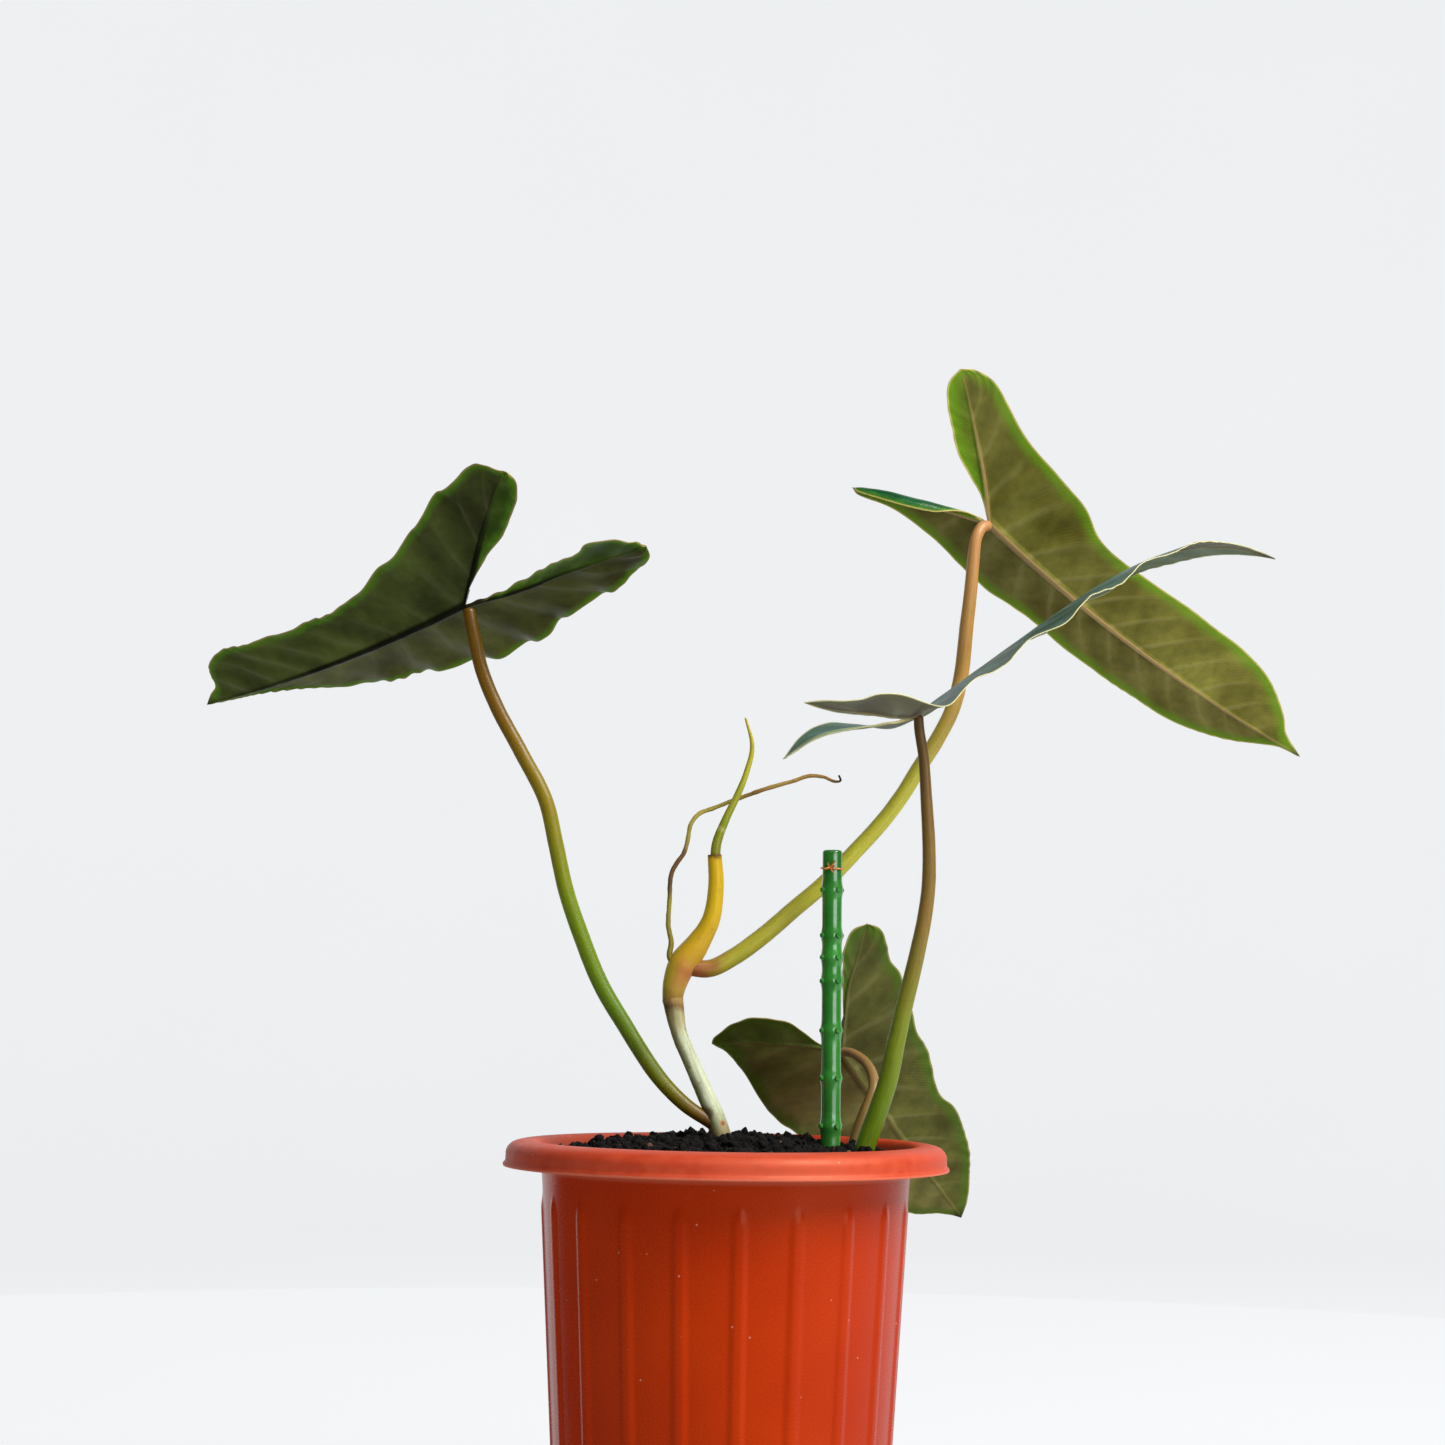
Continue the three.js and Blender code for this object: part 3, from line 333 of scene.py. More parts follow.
# SOIL
# Near-black potting mix of peat, bark and coir, pressed loosely into the pot and heaped round the stem:
# a lumpy bed with loose crumbs of many sizes on it, and here and there a paler bit of bark.
SOIL_EDGE_HEIGHT, SOIL_MOUND, SOIL_LUMP = 226.5, 10, 1.6
SOIL_EDGE_RADIUS = body_radius(SOIL_EDGE_HEIGHT) - POT_WALL + 0.9


def soil_height(x, y):
    """The bed's height above a place in mm, as the CAD solid has it."""
    share = np.hypot(x, y) / SOIL_EDGE_RADIUS
    lumps = np.sin(x * 0.31 + 1.3) * np.cos(y * 0.27) + 0.7 * np.sin(x * 0.12 - y * 0.39)
    return SOIL_EDGE_HEIGHT + SOIL_MOUND * (1 - share ** 2) + SOIL_LUMP * lumps * (1 - share ** 6)


# Peat is matt and almost black when damp, with fine fibres; bark bits are tan.
potting_soil, tree, place = new_material("damp_potting_mix")
tint = put(tree, "ShaderNodeAttribute", attribute_name="tint").outputs["Fac"]
grain = put(tree, "ShaderNodeTexNoise", {"Vector": place, "Scale": per(2.2), "Detail": 6, "Roughness": 0.75})
peat = put(tree, "ShaderNodeValToRGB", {"Fac": grain}, stops=[
    (0.3, "#030202"), (0.54, "#0e0b09"), (0.66, "#2c251e"), (0.76, "#6a5a48")])
bark = put(tree, "ShaderNodeValToRGB", {"Fac": tint}, stops=[
    (0.0, "#6b6059"), (0.8, "#8a7c6e"), (0.96, "#b9936b"), (0.985, "#e0b98a")])
colour = put(tree, "ShaderNodeMix", {"Factor": 1.0, "A": peat, "B": bark},
             data_type="RGBA", blend_type="MULTIPLY")
pale = put(tree, "ShaderNodeMapRange", {
    "Value": tint, "From Min": 0.97, "From Max": 0.985, "To Min": 0, "To Max": 0.6})
mixed = put(tree, "ShaderNodeMix", {"Factor": pale, "A": colour, "B": "#8d6a48"}, data_type="RGBA")
rough = put(tree, "ShaderNodeMapRange", {"Value": grain, "To Min": 0.55, "To Max": 0.95})
bump = put(tree, "ShaderNodeBump", {"Height": grain, "Strength": 1.0, "Distance": 0.9 * MM})
shader = put(tree, "ShaderNodeBsdfPrincipled", {
    "Base Color": mixed, "Roughness": rough, "Normal": bump, "Specular IOR Level": 0.2})
put(tree, "ShaderNodeOutputMaterial", {"Surface": shader})

# The bed's open top is raised in lumps and strewn with crumbs and clods, which are uneven balls turned
# any way. A tint of its own sets each apart, and the palest are bits of bark.
ANY_WAY = (6.28, 6.28, 6.28)  # radians
soil_tree, given = new_tree("heaped_soil", {
    "Lump Height": "Float", "Lump Size": "Float", "Crumbs": "Float", "Clods": "Float",
    "Crumb Size": "Float", "Clod Size": "Float", "Seed": "Int", "Soil": "Material",
})
open_top = put(soil_tree, "GeometryNodeInputNamedAttribute", {"Name": "open_top"}, data_type="FLOAT")
place = put(soil_tree, "GeometryNodeInputPosition")
lump_scale = put(soil_tree, "ShaderNodeMath", {0: 1, 1: given["Lump Size"]}, operation="DIVIDE")
lumps = put(soil_tree, "ShaderNodeTexNoise", {
    "Vector": place, "Scale": lump_scale, "Detail": 3, "Roughness": 0.65})
centred = put(soil_tree, "ShaderNodeMath", {0: lumps, 1: 0.5}, operation="SUBTRACT")
lump = put(soil_tree, "ShaderNodeMath", {0: centred, 1: given["Lump Height"]}, operation="MULTIPLY")
lift = put(soil_tree, "ShaderNodeMath", {0: lump, 1: open_top}, operation="MULTIPLY")
up = put(soil_tree, "ShaderNodeCombineXYZ", {"Z": lift})
bed = put(soil_tree, "GeometryNodeSetPosition", {"Geometry": given["Geometry"], "Offset": up})
pieces_of_soil = [bed]
for amount, size, finer, seed in (("Crumbs", "Crumb Size", 1, 3), ("Clods", "Clod Size", 2, 8)):
    density = put(soil_tree, "ShaderNodeMath", {0: given[amount], 1: open_top}, operation="MULTIPLY")
    own_seed = put(soil_tree, "ShaderNodeMath", {0: given["Seed"], 1: seed}, operation="ADD")
    spots = put(soil_tree, "GeometryNodeDistributePointsOnFaces", {
        "Mesh": bed, "Density": density, "Seed": own_seed})
    ball = put(soil_tree, "GeometryNodeMeshIcoSphere", {"Radius": 1, "Subdivisions": finer})
    turn = put(soil_tree, "FunctionNodeRandomValue", {
        "Min": (0, 0, 0), "Max": ANY_WAY, "Seed": own_seed}, data_type="FLOAT_VECTOR")
    spread = put(soil_tree, "FunctionNodeRandomValue", {
        "Min": (0.45, 0.45, 0.35), "Max": (1.3, 1.1, 0.9), "Seed": own_seed}, data_type="FLOAT_VECTOR")
    scale = put(soil_tree, "ShaderNodeVectorMath", {0: spread, "Scale": given[size]}, operation="SCALE")
    laid = put(soil_tree, "GeometryNodeInstanceOnPoints", {
        "Points": spots, "Instance": ball, "Rotation": turn, "Scale": scale})
    shade = put(soil_tree, "FunctionNodeRandomValue", {"Min": 0.0, "Max": 1.0, "Seed": own_seed},
                data_type="FLOAT")
    tinted = put(soil_tree, "GeometryNodeStoreNamedAttribute", {
        "Geometry": laid, "Name": "tint", "Value": shade}, data_type="FLOAT", domain="INSTANCE")
    rounded = put(soil_tree, "GeometryNodeRealizeInstances", {0: tinted})
    loose = put(soil_tree, "GeometryNodeSetShadeSmooth", {"Geometry": rounded, "Shade Smooth": True})
    knobs = put(soil_tree, "ShaderNodeTexNoise", {"Vector": place, "Scale": per(2.6), "Detail": 2})
    uneven = put(soil_tree, "ShaderNodeVectorMath", {0: knobs.outputs["Color"], 1: (0.5, 0.5, 0.5)},
                 operation="SUBTRACT")
    moved = put(soil_tree, "ShaderNodeVectorMath", {0: uneven, "Scale": given[size]}, operation="SCALE")
    pieces_of_soil.append(put(soil_tree, "GeometryNodeSetPosition", {"Geometry": loose, "Offset": moved}))
joined = put(soil_tree, "GeometryNodeJoinGeometry")
for piece in pieces_of_soil:
    soil_tree.links.new(piece.outputs[0], joined.inputs[0])
end_tree(soil_tree, joined, given["Soil"])

OPEN_HEIGHT = 240  # mm: stands for the top's height until soil_height gives it
bed_radii = np.linspace(SOIL_EDGE_RADIUS, 1, 72)
floor_z = POT_FLOOR + 0.3
bed_profile = [
    (0, floor_z), (inside_foot - 2.8, floor_z), (inside_foot - 0.3, 6.3),
    (body_radius(219) - POT_WALL - 0.3, 219), *[(r, OPEN_HEIGHT) for r in bed_radii],
    (0, OPEN_HEIGHT),
]
points, faces = turned(bed_profile, turns=260)
on_top = points[:, 2] == OPEN_HEIGHT
points[on_top, 2] = soil_height(points[on_top, 0], -points[on_top, 1])
soil = new_piece("soil_bed", points * MM, faces, smooth_angle=0)
free = np.clip((SOIL_EDGE_RADIUS - 3 - np.hypot(points[:, 0], points[:, 1])) / 3, 0, 1) * on_top
mark(soil, "open_top", free)
soil = grow(soil, soil_tree, {
    "Lump Height": 12 * MM, "Lump Size": 12 * MM, "Crumbs": 140000.0, "Clods": 15000.0,
    "Crumb Size": 1.25 * MM, "Clod Size": 3.5 * MM, "Seed": 5, "Soil": potting_soil,
})
stand_for(soil, "soil")

# MAIN STEM AND LEAF STALKS
# Living stems, round and firm, with a waxy skin. They grow out of the soil and out of one another, each
# stalk clasping the stem with a slightly swollen foot. They are swept here along their routes, in mm.
MAIN_STEM = {
    "route": [(6, 0, 188), (2, 0, 215), (-3, 0, 238), (-8, 0, 252), (-14, 1, 265), (-20, 2, 278),
              (-27, 3, 294), (-31, 4, 313)],
    "radii": [4.6, 5.2, 5.8, 5.6, 4.8, 4.4, 4.4, 5.9],
}
PETIOLE_LEFT = {
    "route": [(-5, 0, 243), (-11, -1, 247), (-23, -2, 255), (-38, -3, 270), (-57, -4, 298),
              (-71, -4, 321), (-82.5, -4, 348), (-91, -4, 372), (-97, -4, 397), (-103.5, -4, 422),
              (-118, -3, 449), (-131.5, -2, 473), (-140.5, -2, 494), (-145, -2, 512), (-149, -1, 529)],
    "radii": [3.6, 4.4, 4.6, 4.5, 4.3, 4.1, 3.9, 3.6],
}
PETIOLE_UPPER_RIGHT = {
    "route": [(-24, 4, 331), (-11, 6, 330), (3, 8, 337), (19, 10, 349), (36, 13, 364), (52, 16, 378),
              (69, 19, 396), (85, 22, 414), (96, 24, 429), (105, 26, 444), (115, 27, 460),
              (124, 28, 478), (129, 29, 497), (132, 27, 527), (134, 26, 546), (135.5, 25.5, 566),
              (137, 26, 577), (140.5, 29, 583.5), (145, 33, 585)],
    "radii": [4.9, 4.9, 4.7, 4.5, 4.4, 4.3, 4.2, 3.7, 3.2],
}
PETIOLE_RIGHT = {
    "route": [(71, -15, 188), (72, -13, 208), (75, -12, 231), (82, -14, 252), (88, -16, 271),
              (92, -18, 292), (96, -20, 311), (100, -22, 328), (103, -24, 342), (106, -26, 358),
              (108, -28, 375), (108, -31, 396), (106, -35, 424), (104, -38, 447), (101.5, -40, 461),
              (101, -40, 469)],
    "radii": [5.8, 5.7, 5.4, 5, 4.5, 4, 3.6, 3.1, 2.7],
}
PETIOLE_LOW = {
    "route": [(67, 28, 192), (69, 29, 215), (72, 30, 235), (78, 32, 252), (82.5, 36, 264),
              (82, 43, 272), (78, 53, 279), (71, 63, 283.5), (65.5, 70, 284)],
    "radii": [4.2, 4, 3.6, 3.2, 2.8, 2.6],
}

# A circle goes along the route and is made uneven. along is the share of the length, and skin_place the
# place on the skin if the stem were straight, so that patterns can run lengthways.
STRAIGHT_RADIUS = 4  # mm: about a stem's own
stem_tree, given = new_tree("swept_stem", {
    "Sides": "Int", "Lump Height": "Float", "Lump Size": "Float", "Length": "Float", "Skin": "Material",
})
share = put(stem_tree, "GeometryNodeSplineParameter")
route = put(stem_tree, "GeometryNodeStoreNamedAttribute", {
    "Geometry": given["Geometry"], "Name": "along", "Value": share}, data_type="FLOAT", domain="POINT")
ring = put(stem_tree, "GeometryNodeCurvePrimitiveCircle", {"Resolution": given["Sides"], "Radius": 1})
place = put(stem_tree, "GeometryNodeInputPosition")
marked = put(stem_tree, "GeometryNodeStoreNamedAttribute", {
    "Geometry": ring, "Name": "across", "Value": place},
    data_type="FLOAT_VECTOR", domain="POINT")
thick = put(stem_tree, "GeometryNodeInputRadius")
swept = put(stem_tree, "GeometryNodeCurveToMesh", {
    "Curve": route, "Profile Curve": marked, "Scale": thick, "Fill Caps": True})
across = put(stem_tree, "GeometryNodeInputNamedAttribute", {"Name": "across"}, data_type="FLOAT_VECTOR")
along = put(stem_tree, "GeometryNodeInputNamedAttribute", {"Name": "along"}, data_type="FLOAT")
reach = put(stem_tree, "ShaderNodeMath", {0: along, 1: given["Length"]}, operation="MULTIPLY")
lengthways = put(stem_tree, "ShaderNodeCombineXYZ", {"Z": reach})
spread = put(stem_tree, "ShaderNodeVectorMath", {
    0: across, "Scale": STRAIGHT_RADIUS * MM}, operation="SCALE")
straight = put(stem_tree, "ShaderNodeVectorMath", {0: spread, 1: lengthways}, operation="ADD")
skinned = put(stem_tree, "GeometryNodeStoreNamedAttribute", {
    "Geometry": swept, "Name": "skin_place", "Value": straight}, data_type="FLOAT_VECTOR", domain="POINT")
lump_scale = put(stem_tree, "ShaderNodeMath", {0: 1, 1: given["Lump Size"]}, operation="DIVIDE")
lumps = put(stem_tree, "ShaderNodeTexNoise", {"Vector": place, "Scale": lump_scale, "Detail": 2})
centred = put(stem_tree, "ShaderNodeMath", {0: lumps, 1: 0.5}, operation="SUBTRACT")
lump = put(stem_tree, "ShaderNodeMath", {0: centred, 1: given["Lump Height"]}, operation="MULTIPLY")
normal = put(stem_tree, "GeometryNodeInputNormal")
offset = put(stem_tree, "ShaderNodeVectorMath", {0: normal, "Scale": lump}, operation="SCALE")
uneven = put(stem_tree, "GeometryNodeSetPosition", {"Geometry": skinned, "Offset": offset})
smooth = put(stem_tree, "GeometryNodeSetShadeSmooth", {"Geometry": uneven, "Shade Smooth": True})
end_tree(stem_tree, smooth, given["Skin"])


def sweep(name, stem, skin, lump=0.25, lump_size=9, step=1.5, sides=24, rounded=(0, 1)):
    """Sweeps a stem along its route, with the named ends rounded off: 0 is its foot and 1 its top."""
    line, widths = smooth_line(stem["route"]), stem["radii"]
    shares = np.linspace(0, 1, max(int(line.length / step), 4) + 1)
    for end in rounded:
        near = abs(end - np.array([0.03, 0.12, 0.3, 0.6]) * widths[-end] / line.length)
        shares = np.sort(np.concatenate([shares, near]))
    radii = np.interp(shares, np.linspace(0, 1, len(widths)), widths)
    for end in rounded:
        inset = abs(shares - end) * line.length / radii
        radii = radii * np.sqrt(np.clip(1 - np.clip(0.6 - inset, 0, 1) ** 2 / 0.36, 0.004, 1))
    places = line(shares) * MM
    curve = bpy.data.curves.new(name, "CURVE")
    curve.dimensions = "3D"
    spline = curve.splines.new("POLY")
    spline.points.add(len(places) - 1)
    spline.points.foreach_set("co", np.column_stack([places, np.ones(len(places))]).ravel())
    spline.points.foreach_set("radius", radii * MM)
    return grow(new_object(name, curve), stem_tree, {
        "Sides": sides, "Lump Height": lump * MM, "Lump Size": lump_size * MM,
        "Length": line.length * MM, "Skin": skin,
    })


def stem_skin(name, stops, fleck="#4a3316", flecks=0.25, rough=0.42, back=None, streak=0.3, scars=()):
    """Waxy living skin: its colour changes along the stem, with fine lengthways streaks and small flecks.

    back is a second, darker run of colours for the side turned to the left, away from the light: painted
    shade. A scar or dark patch has its place and radius in mm, and its colours from its middle out."""
    material, tree, place = new_material(name)
    along = put(tree, "ShaderNodeAttribute", attribute_name="along").outputs["Fac"]
    skin_place = put(tree, "ShaderNodeAttribute", attribute_name="skin_place").outputs["Vector"]
    cloud = put(tree, "ShaderNodeTexNoise", {"Vector": place, "Scale": per(14), "Detail": 3})
    off = put(tree, "ShaderNodeMath", {0: cloud, 1: 0.5}, operation="SUBTRACT")
    shifted = put(tree, "ShaderNodeMath", {0: off, 1: 0.12, 2: along}, operation="MULTIPLY_ADD")
    colour = put(tree, "ShaderNodeValToRGB", {"Fac": shifted}, stops=stops)
    # Painted shade: where the skin faces left, away from the light, it takes the darker back colours.
    if back:
        facing = put(tree, "ShaderNodeNewGeometry").outputs["Normal"]
        left = put(tree, "ShaderNodeSeparateXYZ", {0: facing}).outputs["X"]
        painted_left_shade = put(tree, "ShaderNodeMath", {0: off, 1: 0.9, 2: left}, operation="MULTIPLY_ADD")
        side = put(tree, "ShaderNodeMapRange", {
            "Value": painted_left_shade, "From Min": 0.0, "From Max": -0.7})
        shade = put(tree, "ShaderNodeValToRGB", {"Fac": shifted}, stops=back)
        colour = put(tree, "ShaderNodeMix", {"Factor": side, "A": colour, "B": shade}, data_type="RGBA")
    stretched = put(tree, "ShaderNodeMapping", {"Vector": skin_place, "Scale": (1, 1, 0.07)})
    streaks = put(tree, "ShaderNodeTexNoise", {"Vector": stretched, "Scale": per(1.1), "Detail": 4})
    tone = put(tree, "ShaderNodeMapRange", {
        "Value": streaks, "From Min": 0.3, "From Max": 0.7, "To Min": 1 - streak, "To Max": 1 + streak / 2})
    streaked = put(tree, "ShaderNodeVectorMath", {0: colour, "Scale": tone}, operation="SCALE")
    spots = put(tree, "ShaderNodeTexNoise", {
        "Vector": skin_place, "Scale": per(3.2), "Detail": 5, "Roughness": 0.6})
    flecked = put(tree, "ShaderNodeMapRange", {
        "Value": spots, "From Min": 0.6, "From Max": 0.72, "To Min": 0, "To Max": flecks})
    mixed = put(tree, "ShaderNodeMix", {"Factor": flecked, "A": streaked, "B": fleck}, data_type="RGBA")
    for centre, radius, colours in scars:
        away = put(tree, "ShaderNodeVectorMath", {0: place, 1: [v * MM for v in centre]},
                   operation="DISTANCE").outputs["Value"]
        share = put(tree, "ShaderNodeMath", {0: away, 1: radius * MM}, operation="DIVIDE")
        healed = put(tree, "ShaderNodeValToRGB", {"Fac": share}, stops=colours)
        on_scar = put(tree, "ShaderNodeMapRange", {
            "Value": share, "From Min": 0.7, "From Max": 1.1, "To Min": 0.9, "To Max": 0})
        mixed = put(tree, "ShaderNodeMix", {"Factor": on_scar, "A": mixed, "B": healed}, data_type="RGBA")
    gloss = put(tree, "ShaderNodeMapRange", {
        "Value": spots, "From Min": 0.3, "From Max": 0.7, "To Min": rough - 0.06, "To Max": rough + 0.1})
    bump = put(tree, "ShaderNodeBump", {"Height": streaks, "Strength": 0.35, "Distance": 0.25 * MM})
    shader = put(tree, "ShaderNodeBsdfPrincipled", {
        "Base Color": mixed, "Roughness": gloss, "Normal": bump, "Specular IOR Level": 0.32,
        "Subsurface Weight": 0.08, "Subsurface Radius": (1.0, 0.6, 0.2), "Subsurface Scale": 2 * MM})
    put(tree, "ShaderNodeOutputMaterial", {"Surface": shader})
    return material


pale_stem = stem_skin(
    "waxy_pale_stem",
    [(0.0, "#8a7a4a"), (0.38, "#8a7c50"), (0.44, "#a3aa80"), (0.55, "#c6ceae"), (0.8, "#c2caa8"),
     (0.93, "#a8a070"), (0.965, "#7c6032"), (1.0, "#a08248")],
    # back: painted shade, darker olive where the stem faces left, away from the light.
    back=[(0.0, "#6a5a34"), (0.38, "#6a5630"), (0.46, "#6b6f3a"), (0.7, "#7d8450"), (0.93, "#7a6c3a"),
          (0.965, "#5c4420"), (1.0, "#8a6c38")],
    fleck="#6a4a22", flecks=0.75, rough=0.5, scars=[
        ((-1.6, -5, 245.4), 2.4, [(0.0, "#8f8a5c"), (0.4, "#6a3c18"), (0.7, "#b07a48"), (1.0, "#a08a5a")]),
        # A dark brown patch, darkest in its middle, on the stem where the left stalk meets it.
        ((-11, -3.5, 250), 4.5, [(0.0, "#3e2812"), (1.0, "#6a5a30")]),
    ])
stand_for(sweep("stem", MAIN_STEM, pale_stem, lump=0.7, lump_size=8, rounded=()), "main_stem")

for side, stem, streak, rough, stops in (
    ("left", PETIOLE_LEFT, 0.15, 0.34, [
        (0.0, "#4a2c10"), (0.05, "#6a5010"), (0.11, "#6a6a0a"), (0.18, "#586a04"), (0.27, "#587602"),
        (0.45, "#6a7e04"), (0.62, "#7c700c"), (0.8, "#745408"), (1.0, "#604206")]),
    ("upper_right", PETIOLE_UPPER_RIGHT, 0.12, 0.36, [
        (0.0, "#96542c"), (0.03, "#96682c"), (0.07, "#a49e2c"), (0.3, "#bcb836"), (0.5, "#b0ac34"),
        (0.7, "#ac8640"), (1.0, "#b07e4e")]),
    ("right", PETIOLE_RIGHT, 0.15, 0.36, [
        (0.0, "#50560a"), (0.2, "#5e7a08"), (0.4, "#6e7a14"), (0.6, "#80662c"), (1.0, "#58401e")]),
    ("low", PETIOLE_LOW, 0.15, 0.38, [(0.0, "#4c4414"), (0.5, "#7a6230"), (1.0, "#96744a")]),
):
    skin = stem_skin("waxy_stalk_" + side, stops, streak=streak, rough=rough)
    stand_for(sweep("stalk_" + side, stem, skin), "petiole_" + side)

# LEAF BLADES
# Arrow-shaped leathery blades, each grown on its stalk with a raised midrib below, a rib into each lobe,
# side veins that run forward to the margin, and the soft waves that the skin makes between them.
# Each blade is drawn flat in mm, from its stalk along +X to its tip: the edge from tip to lobe, the rib
# and the notch from the stalk to the lobe. fold, curl, twist and bank are in degrees.
PLAIN_HALF = {"lift": 0, "fall": 0, "curl": 10, "twist": 0}
LEAF_LEFT = {
    "stalk": (-150.3, 0, 531.1), "tip": (-0.733, 0.616, -0.29), "bank": -22, "length": 217,
    "sickle": 10, "droop": -12, "droop_power": 2, "wave": (1.8, 34, 0.6),
    "left": {
        **PLAIN_HALF, "fold": 20, "ahead": 0.7,
        "edge": [(208, 17), (199, 21), (195, 29), (189, 36), (178, 40), (158, 39), (136, 36), (107, 34),
                 (67, 34), (32, 43), (3, 50), (-19, 59), (-45, 67), (-62, 69), (-78, 67)],
        "lobe": (-88, 59), "rib": [(-16, 12), (-36, 27), (-59, 43), (-76, 53)], "curl": 15,
        "notch": [(-11, 8), (-25, 15), (-41, 22), (-55, 27), (-68, 34), (-80, 42), (-88, 51)],
    },
    "right": {
        **PLAIN_HALF, "fold": 6, "ahead": 0.64,
        "edge": [(206, 9), (190, 6), (174, 3), (158, -3), (139, -14), (116, -26), (93, -34), (61, -44),
                 (38, -51), (18, -56), (-9, -55), (-37, -48), (-64, -47), (-84, -44), (-98, -40),
                 (-110, -34)],
        "lobe": (-115, -26), "rib": [(-31, -10), (-58, -14), (-79, -18), (-98, -23)],
        "notch": [(-22, -4), (-46, -3), (-68, -2), (-84, -4), (-93, 0), (-102, -2), (-109, -9), (-114, -18)],
    },
}
LEAF_UPPER_RIGHT = {
    "stalk": (144.2, 35, 587.3), "tip": (0.671, 0.545, -0.503), "bank": 39, "length": 272,
    "sickle": -16, "droop": 0, "droop_power": 2, "wave": (0.9, 46, 2),
    "left": {
        **PLAIN_HALF, "fold": 17, "ahead": 0.78,
        "edge": [(256, -24), (248, -17), (233, -3), (213, 9), (189, 17), (165, 21), (138, 25), (110, 28),
                 (84, 29), (63, 31), (43, 35), (22, 35), (0, 34), (-18, 35), (-36, 37), (-48, 42), (-58, 48)],
        "lobe": (-65, 47), "rib": [(-19, 12), (-37, 25), (-54, 38)],
        "notch": [(-14, 3), (-26, 5), (-47, 13), (-62, 27), (-68, 39)], "curl": 150,
    },
    "right": {
        **PLAIN_HALF, "fold": 17, "ahead": 0.72,
        "edge": [(252, -34), (243, -40), (215, -50), (189, -51), (158, -48), (126, -44), (85, -38),
                 (62, -38), (40, -45), (13, -47), (-6, -48), (-27, -51), (-46, -56), (-61.6, -59.6),
                 (-74.5, -56.6)],
        "lobe": (-81.5, -50.7), "rib": [(-20, -15), (-41, -28), (-58, -38), (-71.6, -45.8)],
        "notch": [(-15, -8), (-30, -12), (-47, -17), (-61, -25), (-72.6, -32), (-81.4, -41)],
    },
}
LEAF_RIGHT = {
    "stalk": (101, -40, 470.6), "tip": (0.748, 0.332, 0.575), "bank": 9, "length": 242,
    "sickle": 0, "droop": 15.6, "droop_power": 6, "wave": (2.6, 44, 0),
    "left": {
        "fold": -8, "lift": 66, "fall": 34, "ahead": 0.76, "curl": 0, "twist": 40,
        "edge": [(224, 9), (200, 20), (170, 30), (135, 37), (98, 40),
                 (55, 37), (20, 34), (-15, 31), (-38, 33), (-56, 35)],
        "lobe": (-68, 33), "rib": [(-17, 9), (-38, 20), (-56, 28)],
        "notch": [(-13, 5), (-30, 13), (-46, 21), (-62, 29)],
    },
    "right": {
        "fold": -5, "lift": 62, "fall": 0, "ahead": 0.76, "curl": 0, "twist": 16,
        "edge": [(224, -9), (200, -20), (170, -30), (135, -37), (98, -40),
                 (55, -37), (20, -38), (-15, -43), (-36, -44), (-54, -39)],
        "lobe": (-66, -30), "rib": [(-18, -9), (-38, -19), (-54, -26)],
        "notch": [(-14, -5), (-32, -12), (-48, -19), (-60, -26)],
    },
}
LEAF_LOW = {
    "stalk": (64.6, 72, 284.7), "tip": (0.424, 0.695, -0.581), "bank": 38, "length": 181,
    "sickle": -5, "droop": 0, "droop_power": 2, "wave": (1.2, 38, 1),
    "left": {
        **PLAIN_HALF, "fold": 14, "ahead": 0.74,
        "edge": [(176, 0), (170, 7), (163, 20), (150, 28), (125, 38), (90, 47), (55, 52), (39, 58), (11, 58),
                 (-14, 57), (-29, 58)],
        "lobe": (-39, 63), "rib": [(-13, 15), (-25, 33), (-35, 49)],
        "notch": [(-11, 8), (-25, 12), (-38, 16), (-46, 24), (-52, 32), (-53, 42), (-49, 52), (-43, 60)],
    },
    "right": {
        **PLAIN_HALF, "fold": 14, "ahead": 0.68,
        "edge": [(175, -11), (167, -17), (156, -23), (139, -31), (118, -36), (99, -38), (87, -35), (74, -36),
                 (48, -43), (26, -44), (14, -48), (-7, -51), (-18, -54), (-29, -53), (-42, -56), (-56, -58)],
        "lobe": (-64, -53), "rib": [(-20, -13), (-38, -26), (-54, -42)],
        "notch": [(-13, -9), (-29, -17), (-50, -27), (-63, -35), (-68, -45)],
    },
}
BLADE_ROWS, LOBE_ROWS, OUTER_COLUMNS, NOTCH_COLUMNS = 120, 56, 30, 18
BLADE_THICKNESS, SAME_PLACE = 0.5, 0.004  # mm; points nearer than the second become one
SKIN_FACTS = ("rib_gap", "edge_gap", "vein_phase", "half_side", "in_notch", "from_tip", "stout")
VEIN_PITCH, VEIN_FAN = 25, 50  # mm: between side veins along the rib, and over which they come to lean
VEIN_SPREAD, NOTCH_SPREAD = 34, 12  # mm: how far forward a side vein runs on its way to the edge
BEND_LENGTH, LOBE_LENGTH, WAVE_WIDTH = 200, 80, 45  # mm: where droop, fall and waves are as given


def bent(leaf, half, sign, flat):
    """Bends points of the flat drawing, with their height above it, to the blade's real form."""
    height, pitch, start = leaf["wave"]
    x, y, z = flat[..., 0], flat[..., 1], flat[..., 2]
    ahead, back = np.maximum(x, 0) / BEND_LENGTH, np.maximum(-x, 0) / LOBE_LENGTH
    out = np.maximum(sign * (y - leaf["sickle"] * ahead ** 2), 0)
    fold = math.radians(half["fold"])
    swing = height * np.minimum(out / WAVE_WIDTH, 1.2) ** 2
    rise = (
        out * math.sin(fold)
        - leaf["droop"] * ahead ** leaf["droop_power"]
        + half["lift"] * (np.hypot(back, 0.15) - 0.15)
        - half["fall"] * back ** 3
        + swing * np.sin(2 * np.pi * x / pitch + start + sign)
    )
    return np.stack([x, y - sign * out * (1 - math.cos(fold)), z + rise], -1)


